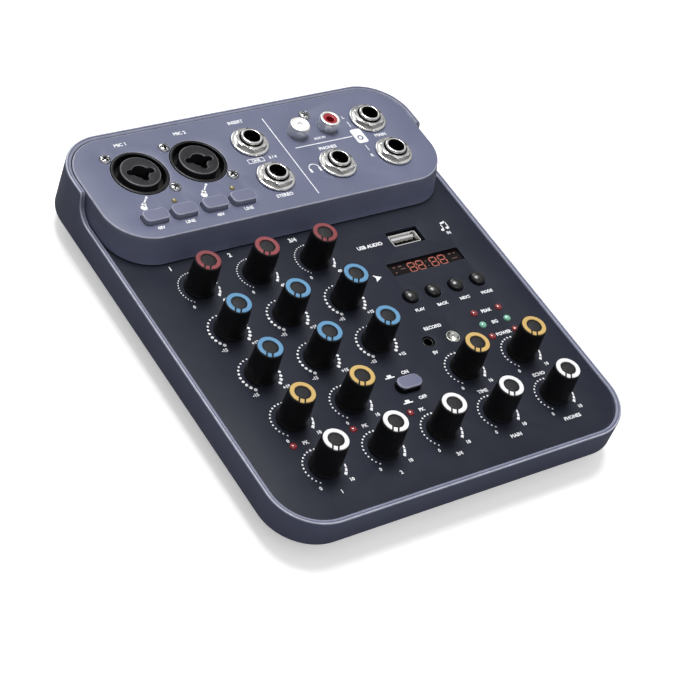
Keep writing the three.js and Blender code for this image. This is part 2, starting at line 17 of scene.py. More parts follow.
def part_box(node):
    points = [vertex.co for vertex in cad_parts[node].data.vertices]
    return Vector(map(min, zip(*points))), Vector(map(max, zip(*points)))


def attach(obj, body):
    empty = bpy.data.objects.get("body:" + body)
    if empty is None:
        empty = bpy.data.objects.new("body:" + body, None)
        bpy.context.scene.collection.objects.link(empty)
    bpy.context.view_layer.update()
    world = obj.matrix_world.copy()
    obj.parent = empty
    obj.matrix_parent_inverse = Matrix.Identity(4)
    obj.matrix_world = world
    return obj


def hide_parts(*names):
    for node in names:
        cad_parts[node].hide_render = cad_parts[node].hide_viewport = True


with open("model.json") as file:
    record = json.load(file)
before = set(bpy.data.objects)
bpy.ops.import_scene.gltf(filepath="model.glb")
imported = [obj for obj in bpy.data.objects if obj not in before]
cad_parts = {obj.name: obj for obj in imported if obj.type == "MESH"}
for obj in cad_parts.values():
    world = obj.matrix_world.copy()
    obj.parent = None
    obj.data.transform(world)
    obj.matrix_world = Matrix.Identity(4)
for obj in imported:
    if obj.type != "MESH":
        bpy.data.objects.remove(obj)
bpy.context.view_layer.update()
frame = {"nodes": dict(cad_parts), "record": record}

MM = 0.001
HOUSING = "housing"
NODES = frame["nodes"]
BODY_OF = {node: body for body, nodes in frame["record"]["behaviour"]["bodies"].items()
           for node in nodes}


def span(node):
    """Lowest and highest corner of a CAD node, in millimetres."""
    low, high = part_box(node)
    return np.array(low) / MM, np.array(high) / MM


def middle(node):
    """The middle of a CAD node's box, in millimetres."""
    low, high = span(node)
    return (low + high) / 2


panel_top = span("control_panel")[1][2]
pod_low, pod_high = span("jack_block")
pod_top = pod_high[2]
case_low, case_high = span("top_case")
print("panel at", round(panel_top, 2), "jack block top at", round(pod_top, 2))

# %% [markdown]
# ## The camera and the light
# The console is seen from above its front left corner, through a long lens, and turned a little
# in the frame. The camera looks along a line from its place to an aim point on the panel, and
# then rolls about that line.

# %% Camera
CAMERA_PLACE = Vector((-0.4384, -0.3881, 0.5476))
CAMERA_AIM = Vector((-0.0134, -0.0198, 0.0185))
CAMERA_ROLL = 22.98
CAMERA_LENS = 110.6


def add_camera():
    """Aims a camera down its own -Z axis, then turns it about that axis by the roll."""
    data = bpy.data.cameras.new("camera")
    data.lens = CAMERA_LENS
    data.sensor_width = 36
    data.clip_start = 0.01
    camera = bpy.data.objects.new("camera", data)
    bpy.context.collection.objects.link(camera)
    look = (CAMERA_AIM - CAMERA_PLACE).to_track_quat("-Z", "Y")
    roll = Matrix.Rotation(math.radians(CAMERA_ROLL), 4, "Z")
    camera.matrix_world = Matrix.Translation(CAMERA_PLACE) @ look.to_matrix().to_4x4() @ roll
    bpy.context.scene.camera = camera


add_camera()
print("camera distance", round((CAMERA_AIM - CAMERA_PLACE).length, 3), "m")

# %% [markdown]
# ## The light
# Studio light is broad and soft, and plated metal needs something dark beside something pale to
# reflect. One wide sun lights the floor evenly, two area lights add glints from behind and in
# front, and the world is a column of tones that change with height.

# %% Lights
scene = bpy.context.scene
scene.view_settings.view_transform = "Standard"


def soft_box(name, place, size, power, aim=(0, 0, 0.02)):
    """A square area light at a place, facing the aim point."""
    data = bpy.data.lights.new(name, "AREA")
    data.shape = "SQUARE"
    data.size = size
    data.energy = power
    light = bpy.data.objects.new(name, data)
    bpy.context.collection.objects.link(light)
    light.location = place
    light.rotation_euler = (Vector(aim) - Vector(place)).to_track_quat("-Z", "Y").to_euler()


def broad_key(direction, strength, spread):
    """A distant lamp as wide as a studio ceiling panel, so the whole floor is lit evenly."""
    data = bpy.data.lights.new("ceiling_key", "SUN")
    data.energy = strength
    data.angle = math.radians(spread)
    light = bpy.data.objects.new("ceiling_key", data)
    bpy.context.collection.objects.link(light)
    light.rotation_euler = (-Vector(direction)).to_track_quat("-Z", "Y").to_euler()


broad_key((0.1, 0.36, 0.93), 2.65, 24)
soft_box("rear_soft_box", (0.2, 0.95, 0.55), 0.45, 1.6)
soft_box("front_fill", (-0.2, -0.75, 0.7), 0.5, 0.9)


def studio_world():
    """A surround with a dark belt between a pale foot and a pale upper part, so that bright metal
    has both to reflect. Each stop is (height, shade)."""
    world = bpy.data.worlds.new("studio")
    world.use_nodes = True
    tree = world.node_tree
    direction = tree.nodes.new("ShaderNodeTexCoord").outputs["Generated"]
    split = tree.nodes.new("ShaderNodeSeparateXYZ")
    tree.links.new(direction, split.inputs["Vector"])
    ramp = tree.nodes.new("ShaderNodeValToRGB")
    tree.links.new(split.outputs["Z"], ramp.inputs["Fac"])
    stops = [(0.0, 0.62), (0.15, 0.5), (0.32, 0.08), (0.46, 0.08), (0.62, 0.66), (0.8, 0.78), (1.0, 0.3)]
    for place, shade in stops[1:-1]:
        ramp.color_ramp.elements.new(place)
    for element, (place, shade) in zip(ramp.color_ramp.elements, stops):
        element.position = place
        element.color = (shade, shade, shade * 1.02, 1)
    background = tree.nodes["Background"]
    tree.links.new(ramp.outputs["Color"], background.inputs["Color"])
    background.inputs["Strength"].default_value = 0.95
    return world


scene.world = studio_world()
print("lights:", len(bpy.data.lights))

# %% [markdown]
# ## Shared shader groups
# Real plastic and plate are never one flat colour. Three groups carry what the finishes share: a moulded
# grain, which gives a fine height and a tone that drifts over the surface, handling marks, which change
# the roughness in broad soft patches with fine scratches, and a mask for painted edge light, where edges
# are painted paler as highlights or darker as shade. First come the helpers that lay out their nodes.

# %% Node helpers


def new_group(name, inputs, outputs):
    """An empty shader group with named float or vector sockets, and its two end nodes."""
    group = bpy.data.node_groups.new(name, "ShaderNodeTree")
    for label, kind, value in inputs:
        socket = group.interface.new_socket(label, in_out="INPUT", socket_type=kind)
        if value is not None:
            socket.default_value = value
    for label, kind in outputs:
        group.interface.new_socket(label, in_out="OUTPUT", socket_type=kind)
    start = group.nodes.new("NodeGroupInput")
    end = group.nodes.new("NodeGroupOutput")
    return group, start, end


def noise(tree, vector, scale, detail=2.0, roughness=0.5):
    """A noise texture on the given vector, with its scale as a number or a socket."""
    node = tree.nodes.new("ShaderNodeTexNoise")
    node.inputs["Detail"].default_value = detail
    node.inputs["Roughness"].default_value = roughness
    tree.links.new(vector, node.inputs["Vector"])
    if isinstance(scale, (int, float)):
        node.inputs["Scale"].default_value = scale
    else:
        tree.links.new(scale, node.inputs["Scale"])
    return node.outputs["Fac"]


def remap(tree, value, from_low, from_high, to_low, to_high):
    """Moves a value from one span to another and clamps it."""
    node = tree.nodes.new("ShaderNodeMapRange")
    tree.links.new(value, node.inputs["Value"])
    for label, amount in (("From Min", from_low), ("From Max", from_high),
                          ("To Min", to_low), ("To Max", to_high)):
        if isinstance(amount, (int, float)):
            node.inputs[label].default_value = amount
        else:
            tree.links.new(amount, node.inputs[label])
    return node.outputs["Result"]


def maths(tree, operation, first, second):
    """One Math node over sockets or numbers."""
    node = tree.nodes.new("ShaderNodeMath")
    node.operation = operation
    for index, amount in enumerate((first, second)):
        if isinstance(amount, (int, float)):
            node.inputs[index].default_value = amount
        else:
            tree.links.new(amount, node.inputs[index])
    return node.outputs["Value"]


# %% [markdown]
# ## Grain, marks and painted edge light
# A moulding takes the fine skin of its mould, and handling leaves smudges on it. Its edges and seams are
# painted paler as highlights or darker as shade. An image could carry this, but noise needs no
# unwrapping and never repeats. Each group gives only heights, tones or masks, and every finish sets its
# own scales.

# %% The moulded grain group


def build_moulded_grain():
    """Height is fine noise over coarser noise. Tone is broad noise drawn to a narrow span."""
    group, start, end = new_group(
        "moulded_grain",
        [("Vector", "NodeSocketVector", None), ("Grain Scale", "NodeSocketFloat", 2500.0),
         ("Tone Scale", "NodeSocketFloat", 30.0)],
        [("Height", "NodeSocketFloat"), ("Tone", "NodeSocketFloat")])
    vector = start.outputs["Vector"]
    fine = noise(group, vector, start.outputs["Grain Scale"], 3.0, 0.6)
    coarse = noise(group, vector, maths(group, "MULTIPLY", start.outputs["Grain Scale"], 0.3), 1.0)
    height = maths(group, "ADD", fine, maths(group, "MULTIPLY", coarse, 0.6))
    tone = noise(group, vector, start.outputs["Tone Scale"], 4.0, 0.6)
    group.links.new(height, end.inputs["Height"])
    group.links.new(remap(group, tone, 0.3, 0.7, 0.0, 1.0), end.inputs["Tone"])
    return group


def build_handling_marks():
    """Roughness between Low and High, from broad smudges, with thin scratches that lower it."""
    group, start, end = new_group(
        "handling_marks",
        [("Vector", "NodeSocketVector", None), ("Low", "NodeSocketFloat", 0.4),
         ("High", "NodeSocketFloat", 0.6), ("Mark Scale", "NodeSocketFloat", 40.0)],
        [("Roughness", "NodeSocketFloat"), ("Scratches", "NodeSocketFloat")])
    vector = start.outputs["Vector"]
    smudge = noise(group, vector, start.outputs["Mark Scale"], 5.0, 0.65)
    stretch = group.nodes.new("ShaderNodeMapping")
    stretch.inputs["Rotation"].default_value = (0.2, 0.1, 0.7)
    stretch.inputs["Scale"].default_value = (30.0, 900.0, 60.0)
    group.links.new(vector, stretch.inputs["Vector"])
    streaks = noise(group, stretch.outputs["Vector"], 1.0, 2.0)
    scratches = remap(group, streaks, 0.68, 0.74, 0.0, 1.0)
    rough = remap(group, smudge, 0.3, 0.7, start.outputs["Low"], start.outputs["High"])
    group.links.new(maths(group, "SUBTRACT", rough, maths(group, "MULTIPLY", scratches, 0.08)),
                    end.inputs["Roughness"])
    group.links.new(scratches, end.inputs["Scratches"])
    return group


def build_painted_edge_light():
    """A mask for painted edge light: the edge attribute, broken up by noise and scaled by Amount. Where
    it is high, a pale edge colour paints a highlight and a dark one paints shade.
    """
    group, start, end = new_group(
        "painted_edge_light",
        [("Vector", "NodeSocketVector", None), ("Edge", "NodeSocketFloat", 0.0),
         ("Amount", "NodeSocketFloat", 1.0)],
        [("Mask", "NodeSocketFloat")])
    broken = noise(group, start.outputs["Vector"], 260.0, 4.0, 0.6)
    share = remap(group, broken, 0.3, 0.65, 0.6, 1.0)
    mask = maths(group, "MULTIPLY", start.outputs["Edge"], share)
    group.links.new(maths(group, "MULTIPLY", mask, start.outputs["Amount"]), end.inputs["Mask"])
    return group


MOULDED_GRAIN = build_moulded_grain()
HANDLING_MARKS = build_handling_marks()
PAINTED_EDGE_LIGHT = build_painted_edge_light()
print("shader groups:", len(bpy.data.node_groups))

# %% [markdown]
# ## Finishes
# One function lays out a finish: object coordinates feed the groups, the tone mixes two close colours,
# the marks drive the roughness, and the grain drives a bump. Where an edge colour is given, it is mixed
# in where the piece's edge attribute is high: a pale edge colour is a painted highlight there, and a
# dark one is painted shade.

# %% A finish from the shared groups


def paint_edge_light(tree, place, colour, painted_edge_colour, edge_paint_amount):
    """Mixes the edge colour in where the piece's edge attribute is high: a painted highlight where that
    colour is pale, painted shade where it is dark.
    """
    attribute = tree.nodes.new("ShaderNodeAttribute")
    attribute.attribute_name = "edge"
    mask = tree.nodes.new("ShaderNodeGroup")
    mask.node_tree = PAINTED_EDGE_LIGHT
    mask.inputs["Amount"].default_value = edge_paint_amount
    tree.links.new(place, mask.inputs["Vector"])
    tree.links.new(attribute.outputs["Fac"], mask.inputs["Edge"])
    blend = tree.nodes.new("ShaderNodeMix")
    blend.data_type = "RGBA"
    blend.inputs["B"].default_value = (*painted_edge_colour, 1)
    tree.links.new(mask.outputs["Mask"], blend.inputs["Factor"])
    tree.links.new(colour, blend.inputs["A"])
    return blend.outputs["Result"]


def finish(name, light, dark, low, high, metallic=0.0, grain=2500.0, depth=0.00002,
           tone=30.0, marks=40.0, coat=0.0, coat_roughness=0.1, specular=0.5, strength=0.35,
           edge=None, edge_paint_amount=1.0):
    """A Principled material whose colour, roughness and normal all vary over the surface."""
    material = bpy.data.materials.new(name)
    material.use_nodes = True
    tree = material.node_tree
    shader = tree.nodes["Principled BSDF"]
    place = tree.nodes.new("ShaderNodeTexCoord").outputs["Object"]
    grain_node = tree.nodes.new("ShaderNodeGroup")
    grain_node.node_tree = MOULDED_GRAIN
    grain_node.inputs["Grain Scale"].default_value = grain
    grain_node.inputs["Tone Scale"].default_value = tone
    marks_node = tree.nodes.new("ShaderNodeGroup")
    marks_node.node_tree = HANDLING_MARKS
    marks_node.inputs["Low"].default_value = low
    marks_node.inputs["High"].default_value = high
    marks_node.inputs["Mark Scale"].default_value = marks
    for node in (grain_node, marks_node):
        tree.links.new(place, node.inputs["Vector"])
    mix = tree.nodes.new("ShaderNodeMix")
    mix.data_type = "RGBA"
    mix.inputs["A"].default_value = (*light, 1)
    mix.inputs["B"].default_value = (*dark, 1)
    tree.links.new(grain_node.outputs["Tone"], mix.inputs["Factor"])
    colour = mix.outputs["Result"]
    # Painted light along edges: a pale edge colour is a painted highlight, a dark one painted shade.
    if edge:
        colour = paint_edge_light(tree, place, colour, edge, edge_paint_amount)
    tree.links.new(colour, shader.inputs["Base Color"])
    tree.links.new(marks_node.outputs["Roughness"], shader.inputs["Roughness"])
    bump = tree.nodes.new("ShaderNodeBump")
    bump.inputs["Strength"].default_value = strength
    bump.inputs["Distance"].default_value = depth
    tree.links.new(grain_node.outputs["Height"], bump.inputs["Height"])
    tree.links.new(bump.outputs["Normal"], shader.inputs["Normal"])
    shader.inputs["Metallic"].default_value = metallic
    shader.inputs["Coat Weight"].default_value = coat
    shader.inputs["Coat Roughness"].default_value = coat_roughness
    shader.inputs["Specular IOR Level"].default_value = specular
    return material


# %% [markdown]
# ## One call for each finish
# The console has few materials: blue-grey paint, black plastic, plated metal and ink. Each is one call,
# so their colours and gloss can be compared line by line. Light and dark are two tones of one colour.
# The edge colour is a painted highlight on rounded edges, and on plated metal it is painted shade in
# seams, at feet and in bores.

# %% The console's finishes
# case_paint's pale edge colour is a painted highlight on the case rim and on the jack block's top edge
# and hole mouths.
case_paint = finish("case_paint", (0.128, 0.14, 0.216), (0.109, 0.12, 0.189), 0.36, 0.48,
                    specular=0.35, edge=(0.45, 0.462, 0.54))
# panel_paint's pale edge colour is a painted highlight along the plate's top edge and round its hole
# mouths.
panel_paint = finish("panel_paint", (0.022, 0.025, 0.037), (0.015, 0.017, 0.027), 0.42, 0.54,
                     specular=0.1, edge=(0.09, 0.095, 0.125))
cover_plastic = finish("cover_plastic", (0.022, 0.022, 0.025), (0.015, 0.015, 0.017), 0.5, 0.7,
                       grain=900.0, depth=0.00008, specular=0.3)
# knob_plastic's paler edge colour is a painted highlight on the knobs' top edge and foot.
knob_plastic = finish("knob_plastic", (0.0055, 0.0056, 0.0062), (0.0038, 0.0038, 0.0042), 0.42, 0.58,
                      specular=0.22, edge=(0.018, 0.018, 0.02))
knob_inlay = finish("knob_inlay", (0.016, 0.016, 0.018), (0.008, 0.008, 0.0095), 0.5, 0.7,
                    grain=3500.0, depth=0.0001, tone=900.0, specular=0.25)
# cap_plastic's pale edge colour is a painted highlight on the caps' shoulders.
cap_plastic = finish("cap_plastic", (0.142, 0.151, 0.228), (0.123, 0.132, 0.203), 0.38, 0.5,
                     specular=0.3, edge=(0.42, 0.432, 0.52))
button_gloss = finish("button_gloss", (0.004, 0.004, 0.005), (0.0025, 0.0025, 0.003), 0.24, 0.34,
                      coat=0.3, coat_roughness=0.2)
foot_rubber = finish("foot_rubber", (0.02, 0.02, 0.02), (0.012, 0.012, 0.012), 0.75, 0.95)
board_mask = finish("board_mask", (0.015, 0.1, 0.04), (0.01, 0.07, 0.03), 0.3, 0.5)
# socket_plastic's pale edge colour is a painted highlight on the combination flanges' lips and on bore
# mouths.
socket_plastic = finish("socket_plastic", (0.004, 0.004, 0.0045), (0.0025, 0.0025, 0.003), 0.18, 0.3,
                        specular=0.25, edge=(0.13, 0.13, 0.14))
# insert_plastic's pale edge colour is a painted highlight on the inserts' rims and mouths.
insert_plastic = finish("insert_plastic", (0.022, 0.022, 0.025), (0.014, 0.014, 0.016), 0.24, 0.36,
                        specular=0.2, edge=(0.17, 0.17, 0.18))
dark_bore = finish("dark_bore", (0.0012, 0.0012, 0.0012), (0.0006, 0.0006, 0.0006), 0.6, 0.8,
                   specular=0.1)
# nickel's dark edge colour is painted shade at the sockets' seams, feet and bores.
nickel = finish("nickel", (0.95, 0.945, 0.92), (0.84, 0.835, 0.81), 0.1, 0.2, metallic=1.0,
                marks=110.0, tone=90.0, strength=0.1, edge=(0.035, 0.035, 0.035),
                depth=0.000004)
brushed_nickel = finish("brushed_nickel", (0.93, 0.925, 0.9), (0.82, 0.815, 0.79), 0.26, 0.38,
                        metallic=1.0, marks=160.0, strength=0.15)
dish_nickel = finish("dish_nickel", (0.66, 0.67, 0.62), (0.52, 0.53, 0.49), 0.16, 0.26, metallic=1.0,
                     strength=0.1)
grey_tongue = finish("grey_tongue", (0.5, 0.5, 0.5), (0.42, 0.42, 0.42), 0.3, 0.45)
# dark_nickel's near-black edge colour is painted shade in the screws' slots and under their heads.
dark_nickel = finish("dark_nickel", (0.5, 0.5, 0.51), (0.36, 0.36, 0.37), 0.12, 0.22,
                     metallic=1.0, tone=200.0, strength=0.1, edge=(0.006, 0.006, 0.006))
contact_gold = finish("contact_gold", (0.7, 0.52, 0.24), (0.55, 0.4, 0.17), 0.2, 0.35, metallic=1.0)
window_gloss = finish("window_gloss", (0.006, 0.003, 0.003), (0.004, 0.002, 0.002), 0.08, 0.16,
                      specular=0.15)
ink = finish("ink", (0.86, 0.87, 0.89), (0.68, 0.69, 0.72), 0.5, 0.65, tone=700.0)
phono_white = finish("phono_white", (0.86, 0.86, 0.84), (0.78, 0.78, 0.76), 0.18, 0.3, coat=0.4)
phono_red = finish("phono_red", (0.36, 0.012, 0.022), (0.25, 0.008, 0.015), 0.15, 0.28, coat=0.5)
RING_FINISHES = {
    "white": finish("ring_white", (0.8, 0.8, 0.8), (0.7, 0.7, 0.71), 0.3, 0.45, specular=0.3),
    "yellow": finish("ring_yellow", (0.61, 0.42, 0.15), (0.51, 0.34, 0.11), 0.3, 0.45, specular=0.3),
    "blue": finish("ring_blue", (0.12, 0.29, 0.47), (0.085, 0.22, 0.38), 0.3, 0.45, specular=0.3),
    "red": finish("ring_red", (0.24, 0.05, 0.058), (0.165, 0.034, 0.04), 0.3, 0.45, specular=0.3),
}
floor_paint = finish("floor_paint", (0.93, 0.93, 0.93), (0.91, 0.91, 0.91), 0.6, 0.8, tone=3.0)
print("finishes made:", len(bpy.data.materials))


# %% [markdown]
# ## Lit lenses
# Lamps and digits are tinted plastic with a light behind it. Each could be a light of its own,
# but a faint glow in the lens is enough, because the lamps hardly light the plate round them.

# %% Lamp lenses


def lens_finish(name, colour, glow, strength):
    """A tinted lens: gloss under a clear coat, with a faint glow of its own colour."""
    material = finish(name, colour, tuple(0.7 * c for c in colour), 0.08, 0.2, coat=1.0,
                      coat_roughness=0.05, tone=900.0)
    shader = material.node_tree.nodes["Principled BSDF"]
    shader.inputs["Emission Color"].default_value = (*glow, 1)
    shader.inputs["Emission Strength"].default_value = strength
    return material


lamp_red = lens_finish("lamp_red", (0.2, 0.016, 0.018), (0.5, 0.02, 0.02), 0.12)
lamp_green = lens_finish("lamp_green", (0.2, 0.5, 0.36), (0.25, 0.8, 0.5), 0.1)
lamp_yellow = lens_finish("lamp_yellow", (0.2, 0.17, 0.06), (0.8, 0.65, 0.15), 0.03)
digit_glow = lens_finish("digit_glow", (0.28, 0.07, 0.045), (0.7, 0.13, 0.08), 0.23)
digit_dim = lens_finish("digit_dim", (0.1, 0.035, 0.03), (0.3, 0.08, 0.05), 0.08)
print("finishes with the lenses:", len(bpy.data.materials))

# %% [markdown]
# ## Surfaces from arrays
# A piece is a list of patches. A patch is an array of points and the faces between them, laid
# out as rows and columns. The patches of one piece are welded where their edges meet, so the
# finished skin has no open seam, and it is smooth except where two faces meet sharply.

# %% Patch helpers


def grid_faces(rows, columns, wrap=True, start=0):
    """Four-sided faces of a grid. Columns run round counter-clockwise and rows run upwards."""
    index = np.arange(rows * columns).reshape(rows, columns) + start
    right = np.roll(index, -1, axis=1)
    if not wrap:
        index, right = index[:, :-1], right[:, :-1]
    quads = np.stack([index[:-1], right[:-1], right[1:], index[1:]], axis=-1)
    return quads.reshape(-1, 4).tolist()


def grid_patch(points, wrap=True, edge=None):
    """A patch from a (rows, columns, 3) array. The edge weights, if any, are one for each row."""
    rows, columns = points.shape[:2]
    weights = None if edge is None else np.repeat(np.asarray(edge, dtype=float), columns)
    return points.reshape(-1, 3), grid_faces(rows, columns, wrap), False, weights


def weld(name, patches, material, body=HOUSING, sharp=35):
    """One object from patches: their points are joined, merged where they meet, and smoothed. A patch
    marked flat keeps flat faces, and the edge weights become a point attribute, which the finishes read
    to paint highlights and shade along edges."""
    points, faces, smooth, weights, start = [], [], [], [], 0
    for patch_points, patch_faces, flat, edge in patches:
        points.append(np.asarray(patch_points, dtype=float))
        faces.extend([[corner + start for corner in face] for face in patch_faces])
        smooth.append(np.full(len(patch_faces), not flat))
        weights.append(np.zeros(len(patch_points)) if edge is None else edge)
        start += len(patch_points)
    mesh = bpy.data.meshes.new(name)
    mesh.from_pydata((np.concatenate(points) * MM).tolist(), [], faces)
    mesh.polygons.foreach_set("use_smooth", np.concatenate(smooth))
    mesh.attributes.new("edge", "FLOAT", "POINT").data.foreach_set("value", np.concatenate(weights))
    skin = bmesh.new()
    skin.from_mesh(mesh)
    bmesh.ops.remove_doubles(skin, verts=skin.verts, dist=2e-6)
    skin.to_mesh(mesh)
    skin.free()
    mesh.set_sharp_from_angle(angle=math.radians(sharp))
    mesh.materials.append(material)
    piece = bpy.data.objects.new(name, mesh)
    bpy.context.collection.objects.link(piece)
    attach(piece, body)
    return piece


def lathe(centre, profile, sides=48, edge=None):
    """A patch turned about a vertical axis: each [radius, z] of the profile becomes a ring."""
    profile = np.asarray(profile, dtype=float)
    angle = np.linspace(0, 2 * np.pi, sides, endpoint=False)
    radius = profile[:, 0][:, None]
    points = np.stack([
        centre[0] + radius * np.cos(angle),
        centre[1] + radius * np.sin(angle),
        np.broadcast_to(profile[:, 1][:, None], (len(profile), sides))], axis=-1)
    return grid_patch(points, edge=edge)


def fillet(corner, start, end, radius, steps=4):
    """Points of a round corner in a profile: it leaves the line from start and joins the
    line to end, each a radius away from the corner, along a quadratic curve."""
    corner, start, end = (np.asarray(p, dtype=float) for p in (corner, start, end))
    first = corner + (start - corner) / np.linalg.norm(start - corner) * radius
    last = corner + (end - corner) / np.linalg.norm(end - corner) * radius
    share = np.linspace(0, 1, steps + 1)[:, None]
    return (1 - share) ** 2 * first + 2 * share * (1 - share) * corner + share ** 2 * last


def rounded_profile(points, radii, steps=4):
    """A profile with each inner corner rounded by its own radius; the ends stay."""
    points = [np.asarray(p, dtype=float) for p in points]
    rows = [points[0][None]]
    for index in range(1, len(points) - 1):
        radius = radii[index - 1]
        if radius == 0:
            rows.append(points[index][None])
        else:
            rows.append(fillet(points[index], points[index - 1], points[index + 1], radius, steps))
    rows.append(points[-1][None])
    return np.concatenate(rows)


def rounded_box(x0, x1, y0, y1, front, rear, steps=14, straight=1):
    """Outline of a rectangle with round corners, counter-clockwise, as an (n, 2) array. Each
    corner is a quarter circle, and each side is split into a number of straight steps."""
    corners = [(x1 - front, y0 + front, front, -0.5), (x1 - rear, y1 - rear, rear, 0.0),
               (x0 + rear, y1 - rear, rear, 0.5), (x0 + front, y0 + front, front, 1.0)]
    arcs = []
    for x, y, radius, turn in corners:
        angle = np.linspace(turn, turn + 0.5, steps + 1) * np.pi
        arcs.append(np.stack([x + radius * np.cos(angle), y + radius * np.sin(angle)], axis=-1))
    rows = []
    for arc, following in zip(arcs, arcs[1:] + arcs[:1]):
        share = np.linspace(0, 1, straight + 1)[1:-1, None]
        rows.append(arc)
        rows.append(arc[-1] * (1 - share) + following[0] * share)
    return np.concatenate(rows)


def circle(centre, radius, sides=48):
    """A circle as an (n, 2) array."""
    angle = np.linspace(0, 2 * np.pi, sides, endpoint=False)
    return np.stack([centre[0] + radius * np.cos(angle), centre[1] + radius * np.sin(angle)], axis=-1)


def level(outline, z):
    """An outline lifted to a height."""
    return np.column_stack([outline, np.full(len(outline), z)])


def flat_with_holes(outer, holes, z, upwards=True):
    """A flat patch inside an outline and outside its holes, as a constrained triangulation."""
    loops = [outer, *holes]
    points = np.concatenate(loops)
    rings, start = [], 0
    for loop in loops:
        rings.append(list(range(start, start + len(loop))))
        start += len(loop)
    coords, _, faces, _, _, _ = delaunay_2d_cdt(
        [Vector(p) for p in points.tolist()], [], rings, 2, 1e-6)
    flat = np.array([[v.x, v.y, z] for v in coords])
    corners = [list(face) for face in faces]
    first = np.array([[flat[face[k]][:2] for k in (0, 1, 2)] for face in corners])
    edge_a, edge_b = first[:, 1] - first[:, 0], first[:, 2] - first[:, 1]
    turns = edge_a[:, 0] * edge_b[:, 1] - edge_a[:, 1] * edge_b[:, 0]
    wanted = 1 if upwards else -1
    oriented = [f if turn * wanted > 0 else f[::-1] for f, turn in zip(corners, turns)]
    return flat, oriented, True, None


def plate_patches(rings, holes, edge=0.2, steps=3, weights=None):
    """A solid skinned over stacked outlines, with its top and bottom closed and cut by holes.
    rings is a list of (outline, z) from the underside's edge, round the outside, to the top's
    edge. A hole is a function of an offset that gives its outline, and its mouth is rounded."""
    bottom, top = rings[0][1], rings[-1][1]
    side = np.stack([level(outline, z) for outline, z in rings])
    patches = [grid_patch(side, edge=weights)]
    turn = np.linspace(0, np.pi / 2, steps + 1)
    for hole in holes:
        rows = [level(hole(0), bottom)]
        rows += [level(hole(edge * (1 - np.cos(a))), top - edge + edge * np.sin(a)) for a in turn]
        # Painted highlight: each hole's rounded mouth gets edge weights, so a finish with a pale edge
        # colour paints it paler.
        rim = np.concatenate([[0], np.sin(2 * turn)])
        points, faces, flat, edge_weights = grid_patch(np.stack(rows), edge=rim)
        patches.append((points, [face[::-1] for face in faces], flat, edge_weights))
    patches.append(flat_with_holes(rings[-1][0], [hole(edge) for hole in holes], top))
    patches.append(flat_with_holes(rings[0][0], [hole(0) for hole in holes], bottom, False))
    return patches


print("patch helpers ready")

# %% [markdown]
# ## The upper case
# The case is a moulded tray: a plain side wall, a rim with a ridge, a groove and a band inside it,
# and two ears that rise at the rear corners and wrap the jack block. One section is swept round the
# outline, and the height of its top is a function of the distance along the case, so the rim
# sweeps up into the ears without a seam.

# %% Case wall
CASE_CORNER = 20.0
CASE_WALL = 2.3
FLANGE_INNER = 11.8
FLANGE_THICK = 1.6
RIM_TOP = panel_top + 1.2
EAR_TOP = case_high[2]
EAR_FRONT = 66.0
EAR_SWEEP = 8.0


def case_outline(inset):
    """The case seen from above, drawn in by an inset. Sides are split finely for the ears."""
    corner = max(CASE_CORNER - inset, 6.2)
    return rounded_box(case_low[0] + inset, case_high[0] - inset, case_low[1] + inset,
                       case_high[1] - inset, corner, corner, 16, 96)


def rim_height(y):
    """Height of the rim at a distance along the case: level, then a round sweep, then level."""
    reach = np.clip((y - (EAR_FRONT - EAR_SWEEP)) / EAR_SWEEP, 0, 1)
    sweep = RIM_TOP + EAR_SWEEP * (1 - np.sqrt(1 - np.minimum(reach, 0.995) ** 2))
    rise = np.clip((y - EAR_FRONT + 0.1) / 0.9, 0, 1)
    rise = rise * rise * (3 - 2 * rise)
    return sweep + (EAR_TOP - sweep) * rise


def refine_ears(outline):
    """Moves the side points near the ears closer together, where the rim climbs."""
    y = outline[:, 1]
    pull = np.exp(-((y - EAR_FRONT) / 9.0) ** 2)
    straight = np.abs(outline[:, 0]) > case_high[0] - 12.2
    inside = straight & (y < case_high[1] - CASE_CORNER - 1)
    moved = np.where(inside, EAR_FRONT + (y - EAR_FRONT) * (1 - 0.75 * pull), y)
    return np.column_stack([outline[:, 0], moved])


def case_patches():
    """Rows of (inset, height above the rim or above the base) make the wall's section."""
    base = case_low[2]
    section = [(FLANGE_INNER, None, 0.0), (0.5, None, 0.0), (0.15, None, 0.12), (0.0, None, 0.5),
               (0.0, -0.6, None), (0.05, -0.32, None), (0.18, -0.11, None), (0.38, 0.0, None),
               (0.66, 0.0, None), (0.84, -0.14, None), (0.95, -0.34, None), (1.1, -0.34, None),
               (1.22, -0.16, None), (1.4, -0.1, None), (1.85, -0.16, None), (2.08, -0.3, None),
               (2.22, -0.6, None), (CASE_WALL, -0.95, None), (CASE_WALL, None, FLANGE_THICK),
               (FLANGE_INNER, None, FLANGE_THICK), (FLANGE_INNER, None, 0.0)]
    rows = []
    guide = refine_ears(case_outline(0.0))
    height = rim_height(guide[:, 1])
    for inset, above_rim, above_base in section:
        outline = case_outline(inset)
        outline = np.column_stack([outline[:, 0], refine_ears(outline)[:, 1]])
        z = np.full(len(outline), base + above_base) if above_rim is None else height + above_rim
        rows.append(np.column_stack([outline, z]))
    # Painted highlight: the rim's ridge, the band inside it and its inner edge are painted paler, as lit
    # edges.
    painted_highlight = [0, 0, 0, 0, 0, 0.3, 0.8, 1, 0.9, 0.2, 0, 0, 0.15, 0.25, 0.25, 0.6, 0.3, 0, 0, 0, 0]
    return [grid_patch(np.stack(rows), edge=painted_highlight)]


case_shell = weld("upper_case", case_patches(), case_paint)
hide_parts("top_case")
print("case corners:", len(case_shell.data.vertices))


